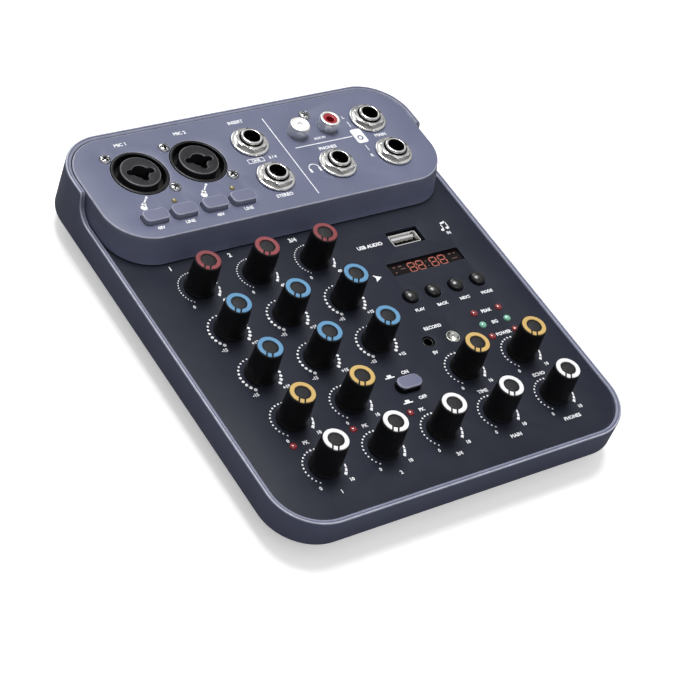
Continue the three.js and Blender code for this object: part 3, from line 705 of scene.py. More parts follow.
# %% [markdown]
# ## The opening for the power inlet
# The rear wall has a square opening where the inlet looks out. The faces of the wall do not meet
# its edges, so a box is cut away with a boolean, and the result is kept as a plain mesh.

# %% Inlet opening in the rear wall


def cut_inlet_opening(piece):
    """Cuts the rear wall where the power inlet looks out, with a boolean that is then applied."""
    low, high = span("power_inlet")
    margin = 0.3
    x = np.array([low[0] - margin, high[0] + margin]) * MM
    z = np.array([low[2] - margin, high[2] + margin]) * MM
    y = np.array([case_high[1] - 6, case_high[1] + 6]) * MM
    corners = [(a, b, c) for a in x for b in y for c in z]
    mesh = bpy.data.meshes.new("inlet_cutter")
    quads = [(0, 1, 3, 2), (4, 6, 7, 5), (0, 4, 5, 1), (2, 3, 7, 6), (0, 2, 6, 4), (1, 5, 7, 3)]
    mesh.from_pydata(corners, [], quads)
    cutter = bpy.data.objects.new("inlet_cutter", mesh)
    bpy.context.collection.objects.link(cutter)
    boolean = piece.modifiers.new("inlet", "BOOLEAN")
    boolean.operation = "DIFFERENCE"
    boolean.solver = "EXACT"
    boolean.object = cutter
    bpy.context.view_layer.update()
    result = bpy.data.meshes.new_from_object(
        piece.evaluated_get(bpy.context.evaluated_depsgraph_get()))
    piece.modifiers.clear()
    piece.data = result
    result.set_sharp_from_angle(angle=math.radians(35))
    bpy.data.objects.remove(cutter)


cut_inlet_opening(case_shell)
print("case faces:", len(case_shell.data.polygons))

# %% [markdown]
# ## The control panel and the jack block
# The panel is a flat plate with rounded hole mouths, and the jack block is a raised shell. Both
# are outlines stacked into a skin, and the flat faces are triangulated around the holes. A hole
# is kept as a function, so that one shape can give both its mouth and its wall.

# %% Hole shapes


def round_hole(centre, radius, sides=48):
    """A circle as a function of how far its edge is offset outwards."""
    return lambda offset: circle(centre, radius + offset, sides)


def bar_hole(centre, length, width, corner, steps=6):
    """A rounded rectangle as a function of how far its edge is offset outwards."""
    x, y = centre[:2]

    def outline(offset):
        half_x, half_y = length / 2 + offset, width / 2 + offset
        return rounded_box(x - half_x, x + half_x, y - half_y, y + half_y,
                           corner + offset, corner + offset, steps)

    return outline


def footprint(node, corner, steps=6, margin=0.0):
    """A node's own rectangle seen from above, less a margin in all, as such a function."""
    low, high = span(node)
    return bar_hole(middle(node), high[0] - low[0] - margin, high[1] - low[1] - margin, corner, steps)


# %% [markdown]
# ## The plate under the knobs
# The plate is one flat sheet with a hole for every shaft, button and socket. Each hole takes its
# place from the node that stands in it, so the plate and the parts cannot drift apart.

# %% Control panel
KNOBS = sorted(name for name in NODES if "_knob_" in name)
DOMED_BUTTONS = sorted(name for name in NODES if name.startswith("display_button"))
POD_CAPS = sorted(name for name in NODES if name.startswith("jack_block_button"))
PANEL_REAR = 35.5
PANEL_TAB = 66.0
PANEL_CORNER = 17.4
PANEL_REAR_CORNER = 0.6
SHAFT_HOLE = 3.6
BUTTON_HOLE = 3.45
CAP_HOLE = (11.1, 6.3)
USB_HOLE = (15.4, 8.1)
DISPLAY_HOLE = (35.4, 6.6)
SMALL_SOCKET_HOLE = 2.7
METAL_SOCKET_HOLE = 3.2


def panel_outline(inset):
    """The plate's outline: round front corners and two tabs under the jack block's corners."""
    low, high = span("control_panel")
    front = rounded_box(low[0], high[0], low[1], high[1], PANEL_CORNER, PANEL_REAR_CORNER, 16)
    front_right, front_left = front[:17], front[-17:]
    rear_right = [[high[0], high[1]], [PANEL_TAB, high[1]], [PANEL_TAB, PANEL_REAR]]
    rear_left = [[-PANEL_TAB, PANEL_REAR], [-PANEL_TAB, high[1]], [low[0], high[1]]]
    outline = np.concatenate([front_right, rear_right, rear_left, front_left])
    shrink_x = (high[0] - inset) / high[0]
    middle_y = (low[1] + high[1]) / 2
    shrink_y = 1 - inset / (high[1] - middle_y)
    return np.column_stack([outline[:, 0] * shrink_x,
                            middle_y + (outline[:, 1] - middle_y) * shrink_y])


def panel_holes():
    """One hole for each shaft, button, cap, socket and window."""
    holes = [round_hole(middle(name), SHAFT_HOLE, 24) for name in KNOBS]
    holes += [round_hole(middle(name), BUTTON_HOLE, 40) for name in DOMED_BUTTONS]
    holes.append(bar_hole(middle("panel_button"), *CAP_HOLE, 3.14))
    holes.append(bar_hole(middle("usb_socket"), *USB_HOLE, 0.6))
    holes.append(bar_hole(middle("display_module"), *DISPLAY_HOLE, 0.4))
    holes.append(round_hole(middle("small_round_socket"), SMALL_SOCKET_HOLE, 32))
    holes.append(round_hole(middle("metal_round_socket"), METAL_SOCKET_HOLE, 32))
    return holes


panel_low = span("control_panel")[0]
panel_edge = 0.22
panel_rings = [
    (panel_outline(0.0), panel_low[2]),
    (panel_outline(0.0), panel_top - panel_edge),
    (panel_outline(panel_edge * 0.3), panel_top - panel_edge * 0.3),
    (panel_outline(panel_edge), panel_top),
]
# Painted highlight: the ring at the plate's top edge is weighted, so the panel paint draws a pale line
# there.
panel = weld("control_plate", plate_patches(panel_rings, panel_holes(), 0.18, weights=[0, 0, 1, 0]),
             panel_paint)
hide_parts("control_panel")
print("panel faces:", len(panel.data.polygons))

# %% [markdown]
# ## The raised block
# The jack block is an open shell that stands over the rear of the case. Its outline is stacked from the
# foot to the top, the front leans back by a share of the height, and the last four rings turn over into
# a narrow edge that catches the light. That edge is also painted paler, as a painted highlight.

# %% Jack block shell
POD_CORNER = 18.0
POD_REAR_CORNER = 17.4
POD_WALL = 1.9
POD_LEAN = 3.9
JACK_NAMES = ["insert", "line", "headphone", "main_left", "main_right"]
COMBOS = ["combo_jack_left", "combo_jack_right"]
COMBO_SCREWS = sorted(name for name in NODES if name.startswith("combo_screw"))
POD_SCREWS = COMBO_SCREWS + ["phono_screw"]
JACK_CENTRES = {name: middle(f"{name}_jack_nut") for name in JACK_NAMES}
PHONO_Y = 74.55
PHONO_X = {"white": 22.9, "red": 37.6}
COMBO_HOLE = 11.65
SCREW_HOLE = 1.8
JACK_HOLE = 4.7
PHONO_HOLE = 4.3


def pod_outline(z, inset):
    """The jack block's outline at a height: its front leans back by a share of that height."""
    share = (z - pod_low[2]) / (pod_top - pod_low[2])
    front = pod_low[1] + POD_LEAN * share
    return rounded_box(pod_low[0] + inset, pod_high[0] - inset, front + inset,
                       pod_high[1] - inset, POD_CORNER - inset, POD_REAR_CORNER - inset, 18)


def pod_holes():
    """One hole for each socket, screw and cap."""
    holes = [round_hole(middle(name), COMBO_HOLE, 72) for name in COMBOS]
    holes += [round_hole(middle(name), SCREW_HOLE, 24) for name in POD_SCREWS]
    holes += [round_hole(centre, JACK_HOLE, 32) for centre in JACK_CENTRES.values()]
    holes += [round_hole((x, PHONO_Y), PHONO_HOLE, 32) for x in PHONO_X.values()]
    holes += [bar_hole(middle(name), *CAP_HOLE, 2.2) for name in POD_CAPS]
    return holes


pod_edge = 0.55
ceiling = pod_top - POD_WALL
shoulder = pod_top - pod_edge
pod_rings = [(pod_outline(ceiling, POD_WALL), ceiling),
             (pod_outline(pod_low[2], POD_WALL), pod_low[2]),
             (pod_outline(pod_low[2], 0.3), pod_low[2]),
             (pod_outline(pod_low[2], 0.0), pod_low[2] + 0.3)]
pod_rings += [(pod_outline(z, 0.0), z) for z in np.linspace(pod_low[2] + 1, shoulder, 6)]
pod_rings += [(pod_outline(shoulder, pod_edge * (1 - math.cos(a))), shoulder + pod_edge * math.sin(a))
              for a in np.linspace(0.25, math.pi / 2, 4)]
# Painted highlight: the rings of the top edge are weighted so the paint is paler there.
pod_edge_highlight = [0] * (len(pod_rings) - 5) + [0.15, 0.8, 1, 0.8, 0]
pod = weld("jack_block_shell", plate_patches(pod_rings, pod_holes(), 0.25, weights=pod_edge_highlight),
           case_paint)
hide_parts("jack_block")
print("jack block faces:", len(pod.data.polygons))

# %% [markdown]
# ## Knobs
# Each knob is a matt black tapered skirt with a coloured ring let into its top. The ring is
# broken once for a small pointer block, which is what shows the setting, and inside it lies a
# dark, finely textured disc. The body is turned, and the ring is a section carried along an arc.

# %% Knob body
KNOB_REST = -125.0
KNOB_RING = (3.1, 4.8)
POINTER_BAND = (3.1, 4.98)
SLIT_EDGE = 1.4
POINTER_HALF = 0.72


def knob_body(name):
    """A tapered body of revolution with a small foot and a soft top edge round a shallow seat."""
    low, high = span(name)
    centre = middle(name)
    base, top = panel_top + 0.4, high[2]
    foot = (high[0] - low[0]) / 2
    height = np.linspace(0, 1, 7)
    side = np.column_stack([foot - 0.3 - 0.55 * height,
                            base + 1.3 + height * (top - 1.0 - base - 1.3)])
    seat = top - 0.55
    inner, outer = KNOB_RING
    profile = np.concatenate([
        [[0, low[2]], [1.9, low[2]], [1.9, 16.5], [3.0, 16.5], [3.0, base]],
        [[foot - 0.5, base], [foot - 0.05, base + 0.1], [foot - 0.02, base + 0.55],
         [foot - 0.2, base + 0.9]],
        side,
        [[outer + 0.3, top - 0.62], [outer + 0.16, top - 0.34], [outer + 0.04, top - 0.26],
         [outer, top - 0.3], [outer, seat], [inner, seat], [inner - 0.06, top - 0.32],
         [inner - 0.2, top - 0.26], [2.6, top - 0.28], [2.55, top - 0.5], [0, top - 0.5]]])
    # Painted highlight: the knob's rounded top edge and its foot are weighted so they are painted paler.
    weights = np.zeros(len(profile))
    weights[16:19] = 1
    weights[6:8] = 0.4
    piece = weld(f"{name}_body", [lathe(centre, profile, 56, weights)], knob_plastic, BODY_OF[name],
                 30)
    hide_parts(name)


def split_band(centre, band, first, last, bottom, top, steps):
    """A band round the axis whose ends are cut parallel to the pointer. At radius r an end that
    lies a distance d beside the pointer is at the angle arcsin(d / r), and the rows between are
    shared out evenly. The section is a rectangle with two round upper corners."""
    inner, outer = band
    section = rounded_profile(
        [[inner, bottom], [inner, top - 0.04], [outer, top], [outer, bottom], [inner, bottom]],
        [0.16, 0.3, 0], 4)
    radius, z = section[:, 0][:, None], section[:, 1][:, None]
    share = np.linspace(0, 1, steps + 1)[None]
    begin = np.arcsin(first / radius)
    finish_angle = np.arcsin(last / radius) + (2 * np.pi if last < first else 0)
    angle = math.radians(KNOB_REST) + begin * (1 - share) + finish_angle * share
    points = np.stack([centre[0] + radius * np.cos(angle), centre[1] + radius * np.sin(angle),
                       np.broadcast_to(z, angle.shape)], axis=-1)
    rows, columns = angle.shape
    flat_points, faces, flat, weights = grid_patch(points, wrap=False)
    ends = [[row * columns for row in range(rows - 1)][::-1],
            [row * columns + columns - 1 for row in range(rows - 1)]]
    turned = [face[::-1] for face in faces] + ends
    return flat_points, turned, flat, weights


def knob_trim(name):
    """The coloured ring with its pointer block, and the disc inside it."""
    centre = middle(name)
    top = span(name)[1][2]
    colour = name.split("_")[0]
    seat = top - 0.56
    ring = split_band(centre, KNOB_RING, SLIT_EDGE, -SLIT_EDGE, seat, top, 80)
    block = split_band(centre, POINTER_BAND, -POINTER_HALF, POINTER_HALF, seat, top - 0.04, 6)
    weld(f"{name}_ring", [ring], RING_FINISHES[colour], BODY_OF[name], 30)
    weld(f"{name}_pointer", [block], RING_FINISHES[colour], BODY_OF[name], 30)
    disc = rounded_profile([[0, top - 0.52], [2.54, top - 0.52], [2.54, top - 0.3], [0, top - 0.24]],
                           [0.02, 0.1], 3)
    weld(f"{name}_inlay", [lathe(centre, disc, 40)], knob_inlay, BODY_OF[name])


for knob in KNOBS:
    knob_body(knob)
    knob_trim(knob)
print("knobs:", len(KNOBS))

# %% [markdown]
# ## Push caps
# The push caps are soft-edged blocks: a rounded rectangle drawn in row by row towards a barely
# crowned top. A stem below each reaches down to its switch.

# %% Push caps


def cap_patches(name, corner, crown=0.1, edge=0.5):
    """A cap from stacked outlines: straight sides, a round shoulder and a crowned top."""
    low, high = span(name)
    centre = middle(name)
    outline = footprint(name, corner, 8)
    shoulder_z = high[2] - crown - edge
    turn = np.linspace(0, np.pi / 2, 6)
    skirt = max(high[2] - 5.4, low[2])
    rows = [level(outline(-0.3), skirt), level(outline(0), skirt + 0.2)]
    rows += [level(outline(-edge * (1 - np.cos(a))), shoulder_z + edge * np.sin(a)) for a in turn]
    rim = outline(-edge)
    for share in (0.8, 0.55, 0.3, 0.0):
        ring = centre[:2] + (rim - centre[:2]) * share
        rows.append(level(ring, shoulder_z + edge + crown * (1 - share ** 2)))
    # Painted highlight: the cap's rounded shoulder is painted paler.
    painted_highlight = [0, 0, 0] + np.sin(np.pi * np.linspace(0.1, 1, 6)).tolist() + [0, 0, 0, 0]
    rows.insert(0, level(centre[:2] + (rim - centre[:2]) * 0, skirt))
    stem = bar_hole(centre, 3.0, 3.0, 0.2, 2)
    pole = centre[:2] + (stem(0) - centre[:2]) * 0
    stem_rows = [level(pole, low[2]), level(stem(0), low[2]), level(stem(0), skirt + 0.1),
                 level(pole, skirt + 0.1)]
    return [grid_patch(np.stack(rows), edge=painted_highlight), grid_patch(np.stack(stem_rows))]


PANEL_CAP_CORNER = 2.82
POD_CAP_CORNER = 2.0
for cap in POD_CAPS + ["panel_button"]:
    corner_radius = PANEL_CAP_CORNER if cap == "panel_button" else POD_CAP_CORNER
    piece = weld(f"{cap}_cap", cap_patches(cap, corner_radius), cap_plastic, BODY_OF[cap],
                 40)
    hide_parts(cap)
print("push caps:", len(POD_CAPS) + 1)

# %% [markdown]
# ## Polished buttons
# The four buttons under the display are short black domes. A turned profile is the plainest way
# to make one: a straight foot below, and a quarter of an ellipse above it.

# %% Domed buttons


def domed_button(name):
    """A short barrel under a flattened dome: the dome's profile is a quarter of an ellipse."""
    low, high = span(name)
    radius = (high[0] - low[0]) / 2
    spring_line = panel_top + 0.55
    turn = np.linspace(0, np.pi / 2, 10)
    dome = np.column_stack([radius * np.cos(turn), spring_line + (high[2] - spring_line) * np.sin(turn)])
    foot = [[0, low[2]], [1.5, low[2]], [1.5, 16.0], [radius, 16.0]]
    piece = weld(f"{name}_dome", [lathe(middle(name), np.vstack([foot, dome]), 48)], button_gloss,
                 BODY_OF[name], 50)
    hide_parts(name)


for button in DOMED_BUTTONS:
    domed_button(button)
print("domed buttons:", len(DOMED_BUTTONS))

# %% [markdown]
# ## Quarter-inch sockets
# The quarter-inch sockets have a washer, a hexagon nut and a smooth nose round a black bore.
# The nut is a hexagon cut by a cone, so each row of it takes the smaller of the two radii. The plating
# is painted darker as shade at the washer's foot, round the nut's foot and in its bore, and at the
# nose's neck.

# %% Hexagon nut and nose
NUT_FLATS = 11.8
WASHER_THICK = 0.7


def hexagon_radius(angle, flats):
    """Distance from the middle of a hexagon to its edge, at an angle."""
    sector = np.mod(angle, np.pi / 3) - np.pi / 6
    return flats / 2 / np.cos(sector)


def nut_patches(centre, bottom, top, bore, turn=0.15, sides=120):
    """A nut with chamfered corners: each row is the smaller of the hexagon and a cone."""
    angle = np.linspace(0, 2 * np.pi, sides, endpoint=False) + turn
    hexagon = hexagon_radius(angle - turn, NUT_FLATS)
    across = NUT_FLATS / math.sqrt(3)
    limits = [(bottom, across - 0.45), (bottom + 0.25, across), (top - 0.42, across),
              (top - 0.12, across - 0.52), (top, across - 0.95)]
    rows = [np.column_stack([np.full(sides, bore), np.full(sides, bottom)])]
    rows += [np.column_stack([np.minimum(hexagon, limit), np.full(sides, z)]) for z, limit in limits]
    rows += [np.column_stack([np.full(sides, bore + 0.25), np.full(sides, top)]),
             np.column_stack([np.full(sides, bore), np.full(sides, top - 0.25)]),
             np.column_stack([np.full(sides, bore), np.full(sides, bottom)])]
    grid = np.stack(rows)
    points = np.stack([centre[0] + grid[..., 0] * np.cos(angle),
                       centre[1] + grid[..., 0] * np.sin(angle), grid[..., 1]], axis=-1)
    # Painted shade: the nut is painted darker at its foot, partway up its flats and down its bore.
    return [grid_patch(points, edge=[1, 0.9, 0.6, 0.5, 0, 0, 0.5, 1, 1])]


def quarter_inch_socket(name):
    """Washer, nut, nose and black lining of one socket."""
    centre = JACK_CENTRES[name]
    low, high = span(f"{name}_jack_nut")
    nose_top = span(f"{name}_jack")[1][2]
    washer_top = low[2] + WASHER_THICK
    washer_radius = (high[0] - low[0]) / 2
    washer = rounded_profile(
        [[JACK_HOLE, low[2]], [washer_radius, low[2]], [washer_radius - 0.25, washer_top],
         [JACK_HOLE, washer_top], [JACK_HOLE, low[2]]], [0.15, 0.25, 0.05], 3)
    # Painted shadow: a dark line round the washer's foot, where it meets the block.
    painted_foot_shadow = np.clip((low[2] + 0.15 - washer[:, 1]) / 0.1, 0, 1)
    weld(f"{name}_washer", [lathe(centre, washer, 64, painted_foot_shadow)], nickel)
    nut = weld(f"{name}_nut", nut_patches(centre, washer_top, high[2], JACK_HOLE), nickel,
               sharp=20)
    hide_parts(f"{name}_jack_nut")
    outer, neck = 4.4, high[2] + 0.22
    nose = rounded_profile(
        [[3.4, 27.5], [4.1, 27.5], [4.1, neck], [outer, neck + 0.15], [outer, nose_top],
         [3.4, nose_top], [3.4, 27.5]], [0, 0.08, 0.12, 0.5, 0.22], 5)
    # Painted shade: the nose is painted darker at its neck, where it meets the nut.
    painted_neck_shade = np.clip((neck + 0.3 - nose[:, 1]) / 0.2, 0, 1)
    piece = weld(f"{name}_nose", [lathe(centre, nose, 64, painted_neck_shade)], nickel, sharp=40)
    lining = [[0, 11.6], [3.38, 11.6], [3.38, nose_top - 0.5], [3.2, nose_top - 0.6], [3.18, 12.0],
              [0, 12.0]]
    weld(f"{name}_bore_lining", [lathe(centre, lining, 48)], dark_bore)
    body = rounded_body(f"{name}_jack", 8.1, 27.3)
    weld(f"{name}_socket_body", body, socket_plastic)
    contact_spring(name, centre, nose_top)
    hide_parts(f"{name}_jack")


def contact_spring(name, centre, nose_top):
    """The sprung contact inside the bore: a narrow strip whose depth into the bore swells and
    falls like half a sine wave along its height."""
    share = np.linspace(0, 1, 15)
    reach = 3.1 - 1.5 * np.sin(np.pi * share) ** 2
    z = nose_top - 3.4 - 6.0 * share
    across = np.array([-0.8, 0.8, 0.8, -0.8])
    depth = np.array([0.0, 0.0, 0.25, 0.25])
    direction = math.radians(70)
    along, side = (math.cos(direction), math.sin(direction)), (-math.sin(direction), math.cos(direction))
    radial = reach[::-1, None] + depth
    x = centre[0] + radial * along[0] + across * side[0]
    y = centre[1] + radial * along[1] + across * side[1]
    points = np.stack([x, y, np.broadcast_to(z[::-1, None], x.shape)], axis=-1)
    flat_points, faces, flat, weights = grid_patch(points)
    count = points.shape[0] * 4
    caps = [[3, 2, 1, 0], [count - 4, count - 3, count - 2, count - 1]]
    turned = [face[::-1] for face in faces + caps]
    weld(f"{name}_contact", [(flat_points, turned, flat, weights)], nickel)


def rounded_body(name, bottom, top):
    """A socket's moulded body below the plate: a block with softened corners and a bore."""
    outline = footprint(name, 0.8, 3)
    rings = [(outline(-0.2), bottom), (outline(0), bottom + 0.2), (outline(0), top - 0.2),
             (outline(-0.2), top)]
    return plate_patches(rings, [round_hole(middle(name), 3.45, 32)], 0.05, 1)


for jack in JACK_NAMES:
    quarter_inch_socket(jack)
print("quarter-inch sockets:", len(JACK_NAMES))

# %% [markdown]
# ## Sockets for two kinds of plug
# A combination socket is a black well round a dark insert, whose mouth takes a round plug or a
# three-pin one. At every angle the mouth reaches as far as the bore or one of three bars does,
# smoothed a little, so it is a single outline that can be cut from a plate.

# %% Combination sockets
INSERT_RADIUS = 8.0
GROOVE_RADIUS = 10.1
LOBES = ((172, 1.45, 4.3), (-4, 1.35, 4.5), (-86, 1.45, 3.7))


def lobed_mouth(centre, offset=0.0, sides=180):
    """The insert's mouth: a round bore with three pin slots. Each slot is a bar with a round end,
    and at each angle the outline is the furthest reach of the bore and the three bars."""
    angle = np.linspace(0, 2 * np.pi, sides, endpoint=False)
    reach = np.full(sides, 3.35)
    for turn, half, length in LOBES:
        along = np.cos(angle - math.radians(turn))
        across = np.abs(np.sin(angle - math.radians(turn)))
        side = half / np.maximum(across, 1e-6)
        root = np.sqrt(np.clip(half ** 2 - (length * across) ** 2, 0, None))
        end = np.where(length * across <= half, length * along + root, 0)
        bar = np.where(side * along < length, side, end)
        reach = np.maximum(reach, np.where(along > 0, bar, 0))
    kernel = np.hanning(7) / np.hanning(7).sum()
    padded = np.concatenate([reach[-3:], reach, reach[:3]])
    reach = np.convolve(padded, kernel, mode="valid") + offset
    return np.column_stack([centre[0] + reach * np.cos(angle), centre[1] + reach * np.sin(angle)])


def combo_socket(name):
    """A black flange and its groove, round a dark insert with its lobed mouth."""
    centre = middle(name)
    low, high = span(name)
    outer = (high[0] - low[0]) / 2
    insert_top = high[2] - 0.05
    groove_floor = pod_top - 4.2
    flange = rounded_profile(
        [[0, low[2]], [outer - 0.3, low[2]], [outer - 0.3, pod_top - 2.2], [outer, pod_top - 2.0],
         [outer, pod_top + 0.28], [GROOVE_RADIUS + 0.1, pod_top + 0.28], [GROOVE_RADIUS, groove_floor],
         [0, groove_floor]],
        [0.2, 0, 0.1, 0.55, 0.35, 0.4], 5)
    # Painted highlight: a pale line on the flange's rounded outer lip.
    painted_highlight = 0.7 * np.exp(-((flange[:, 0] - outer + 0.12) / 0.12) ** 2) * (flange[:, 1] > pod_top)
    piece = weld(f"{name}_flange", [lathe(centre, flange, 96, painted_highlight)], socket_plastic)
    rings = [(circle(centre, INSERT_RADIUS - 0.1, 96), groove_floor - 0.3)]
    rings += [(circle(centre, INSERT_RADIUS - 0.6 * (1 - math.cos(a)), 96),
               insert_top - 0.45 + 0.45 * math.sin(a)) for a in np.linspace(0, math.pi / 2, 6)]
    # Painted highlight: the insert's rounded rim is painted paler, and so is its mouth.
    weights = [0, 0, 0.2, 0.7, 1, 0.6, 0]
    skin = plate_patches(rings, [lambda offset: lobed_mouth(centre, offset)], 0.35, 5, weights)
    weld(f"{name}_insert", skin, insert_plastic)
    core = [[0, groove_floor + 0.05], [INSERT_RADIUS - 0.6, groove_floor + 0.05],
            [INSERT_RADIUS - 0.6, groove_floor + 0.6], [0, groove_floor + 0.6]]
    weld(f"{name}_core", [lathe(centre, core, 48)], dark_bore)
    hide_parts(name)


for combo in COMBOS:
    combo_socket(combo)
print("combination sockets:", len(COMBOS))

# %% [markdown]
# ## Screws
# Screws hold the microphone sockets and the phono block. A cross cut with a boolean shades
# badly, so a head is one height for each point: a dome, less the depth of two crossing slots.

# %% Cross-head screws


def screw_head(name, turn):
    """A pan head with a cross. Its top is a flattened dome, h = (1 - r^2.6)^0.5, and the cross is
    a depth taken off where a point lies inside either of two crossing slots with sloping walls."""
    low, high = span(name)
    centre, top, radius = middle(name), high[2], (high[0] - low[0]) / 2
    rows, columns, height = 30, 112, 1.1
    share = np.linspace(0, 1, rows)[:, None]
    angle = np.linspace(0, 2 * np.pi, columns, endpoint=False)[None]
    r = radius * share
    x, y = r * np.cos(angle), r * np.sin(angle)
    u = x * math.cos(turn) + y * math.sin(turn)
    v = -x * math.sin(turn) + y * math.cos(turn)
    half, reach = 0.5, radius * 0.74
    slot_u = np.clip((half - np.abs(v)) / 0.22, 0, 1) * np.clip((reach - np.abs(u)) / 0.6, 0, 1)
    slot_v = np.clip((half - np.abs(u)) / 0.22, 0, 1) * np.clip((reach - np.abs(v)) / 0.6, 0, 1)
    dome = height * np.sqrt(np.clip(1 - (share * 0.98) ** 2.6, 0, 1))
    z = top - height + dome - 0.85 * np.maximum(slot_u, slot_v)
    points = np.stack([centre[0] + x, centre[1] + y, np.broadcast_to(z, x.shape)], axis=-1)[::-1]
    shank = [level(circle(centre, size, columns), z) for size, z in (
        (0.0, low[2]), (1.4, low[2]), (1.4, top - height - 0.4), (radius, top - height - 0.4))]
    corners, faces, flat, _ = grid_patch(np.concatenate([shank, points]))
    # Painted shade: the slots of the cross, and the ring under the head, are painted near black.
    painted_slot_shade = np.broadcast_to(np.maximum(slot_u, slot_v), x.shape)[::-1].reshape(-1)
    dark = np.concatenate([np.ones(len(shank) * columns), painted_slot_shade])
    head = weld(f"{name}_head", [(corners, faces, flat, dark)], dark_nickel,
                sharp=40)
    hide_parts(name)


for index, screw in enumerate(POD_SCREWS):
    screw_head(screw, 0.4 + 0.5 * index)
print("screws:", len(POD_SCREWS))

# %% [markdown]
# ## Phono sockets
# A phono socket is a plated tube round a coloured insulator, white for the left channel and red
# for the right. Both stand on one moulded block, and each is a turned profile.

# %% Phono sockets


def phono_socket(colour):
    """A bright barrel with a rolled lip. The insulator is red with a pin hole set a little lower,
    or white, over the lip, with a shallow dimple."""
    centre = (PHONO_X[colour], PHONO_Y)
    top = span("phono_jacks")[1][2]
    lip = 4.15
    bore = 3.3 if colour == "white" else 2.95
    barrel = rounded_profile(
        [[bore, 27.0], [lip, 27.0], [lip, top - 1.5], [lip - 0.12, top - 1.4], [lip, top - 1.2],
         [lip, top], [bore, top], [bore, 27.0]], [0.05, 0.1, 0.08, 0.1, 0.3, 0.25], 4)
    piece = weld(f"phono_{colour}_barrel", [lathe(centre, barrel, 64)], brushed_nickel)
    face = top - (0.2 if colour == "white" else 0.55)
    hole, seat, depth = (1.2, 3.95, 0.5) if colour == "white" else (1.6, bore - 0.02, 4)
    insulator = rounded_profile(
        [[0, face - 6], [bore - 0.02, face - 6], [bore - 0.02, face - 0.1], [seat, face - 0.1],
         [seat, face + 0.18], [hole, face + 0.05], [hole - 0.1, face - depth], [0, face - depth]],
        [0, 0, 0, 0.12, 0.2, 0.1], 4)
    paint = phono_white if colour == "white" else phono_red
    weld(f"phono_{colour}_insulator", [lathe(centre, insulator, 48)], paint)
    return piece


phono = [phono_socket(colour) for colour in PHONO_X]
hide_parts("phono_jacks")
phono_block = footprint("phono_jacks", 0.8, 3)
weld("phono_block", plate_patches(
    [(phono_block(-0.2), 8.1), (phono_block(0), 8.3), (phono_block(0), 26.4), (phono_block(-0.2), 26.6)],
    [], 0.1), socket_plastic)
print("phono sockets:", len(phono))

# %% [markdown]
# ## The USB socket
# The USB shell is folded from thin plate, so its mouth is a thin rounded rectangle round a dark
# slot with a tongue and four contacts.

# %% USB socket


def framed_tube(outline, wall, bottom, top, lip=0.15):
    """A tube of even wall: up the outside, over a rounded lip, and down the inside."""
    turn = lip * 0.3
    section = [(0, bottom), (0, top - lip), (-turn, top - turn), (-wall * 0.5, top),
               (-wall + turn, top - turn), (-wall, top - lip), (-wall, bottom), (0, bottom)]
    return grid_patch(np.stack([level(outline(offset), z) for offset, z in section]))


def slab(outline, bottom, top, soft=0.1):
    """A closed block from one outline, with a soft upper edge."""
    rings = [(outline(0), bottom), (outline(0), top - soft), (outline(-soft * 0.3), top - soft * 0.3),
             (outline(-soft), top)]
    return plate_patches(rings, [], soft)


usb_low, usb_high = span("usb_socket")
usb_centre = middle("usb_socket")
usb_outline = footprint("usb_socket", 0.7, 5)
usb_top = usb_high[2] + 0.55
usb_shell = weld("usb_shell", [framed_tube(usb_outline, 0.5, usb_low[2], usb_top, 0.12)], nickel)
usb_inside = footprint("usb_socket", 0.3, 4, 1.0)
weld("usb_floor", slab(usb_inside, usb_top - 8.6, usb_top - 2.4), dark_bore)
tongue_centre = (usb_centre[0], usb_centre[1] + 1.15)
weld("usb_tongue", slab(bar_hole(tongue_centre, 10.6, 1.3, 0.2, 3), usb_top - 8.3, usb_top - 0.7),
     grey_tongue)
usb_pins = []
for offset in (-3.5, -1.0, 1.0, 3.5):
    pin = bar_hole((tongue_centre[0] + offset, tongue_centre[1] - 0.68), 1.0, 0.16, 0.05, 2)
    usb_pins += slab(pin, usb_top - 8.3, usb_top - 1.9, 0.03)
weld("usb_contacts", usb_pins, contact_gold)
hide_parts("usb_socket")
print("usb shell top", round(usb_top, 2))

# %% [markdown]
# ## Dark collar of the panel's cap
# A thin dark tube with a rounded lip stands round the cap of the panel's push switch and covers the
# cap's sides up to just under its top, so the sides read dark. It is drawn from the cap's own outline,
# so it follows the cap all round. It rides on the cap, because the two move together when the switch is
# pressed.

# %% Collar
cap_outline = footprint("panel_button", PANEL_CAP_CORNER, 8)


def collar_outline(offset):
    """The cap's outline, let out a little."""
    return cap_outline(offset + 0.12)


collar_top = span("panel_button")[1][2] - 0.85
weld("panel_button_collar", [framed_tube(collar_outline, 0.3, panel_top - 1.5, collar_top, 0.06)],
     socket_plastic, BODY_OF["panel_button"])
print("collar stands", round(collar_top - panel_top, 2), "mm above the panel")

# %% [markdown]
# ## The display
# The display is a dark window. Its digits are seven bars each, with pointed ends. The bars are
# worked out from one bar by turning and moving it, and they lie as thin raised marks on the
# glass.

# %% Display window and digits
window_low, window_high = span("display_module")
window_centre = middle("display_module")
WINDOW_SIZE = (34.8, 6.0)
window_top = window_high[2]
glass = bar_hole(window_centre, *WINDOW_SIZE, 0.25, 3)
window = weld("display_glass", slab(glass, 12.0, window_top, 0.2), window_gloss)
weld("display_holder", slab(footprint("display_module", 0.5, 3), window_low[2], 12.4),
     socket_plastic)
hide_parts("display_module")

DIGIT_SIZE = (3.0, 4.5)
DIGIT_SPOTS = (37.9, 42.0, 48.7, 53.0)
BAR_WIDTH = 0.52
BAR_LIFT = 0.05
BAR_SINK = 0.02


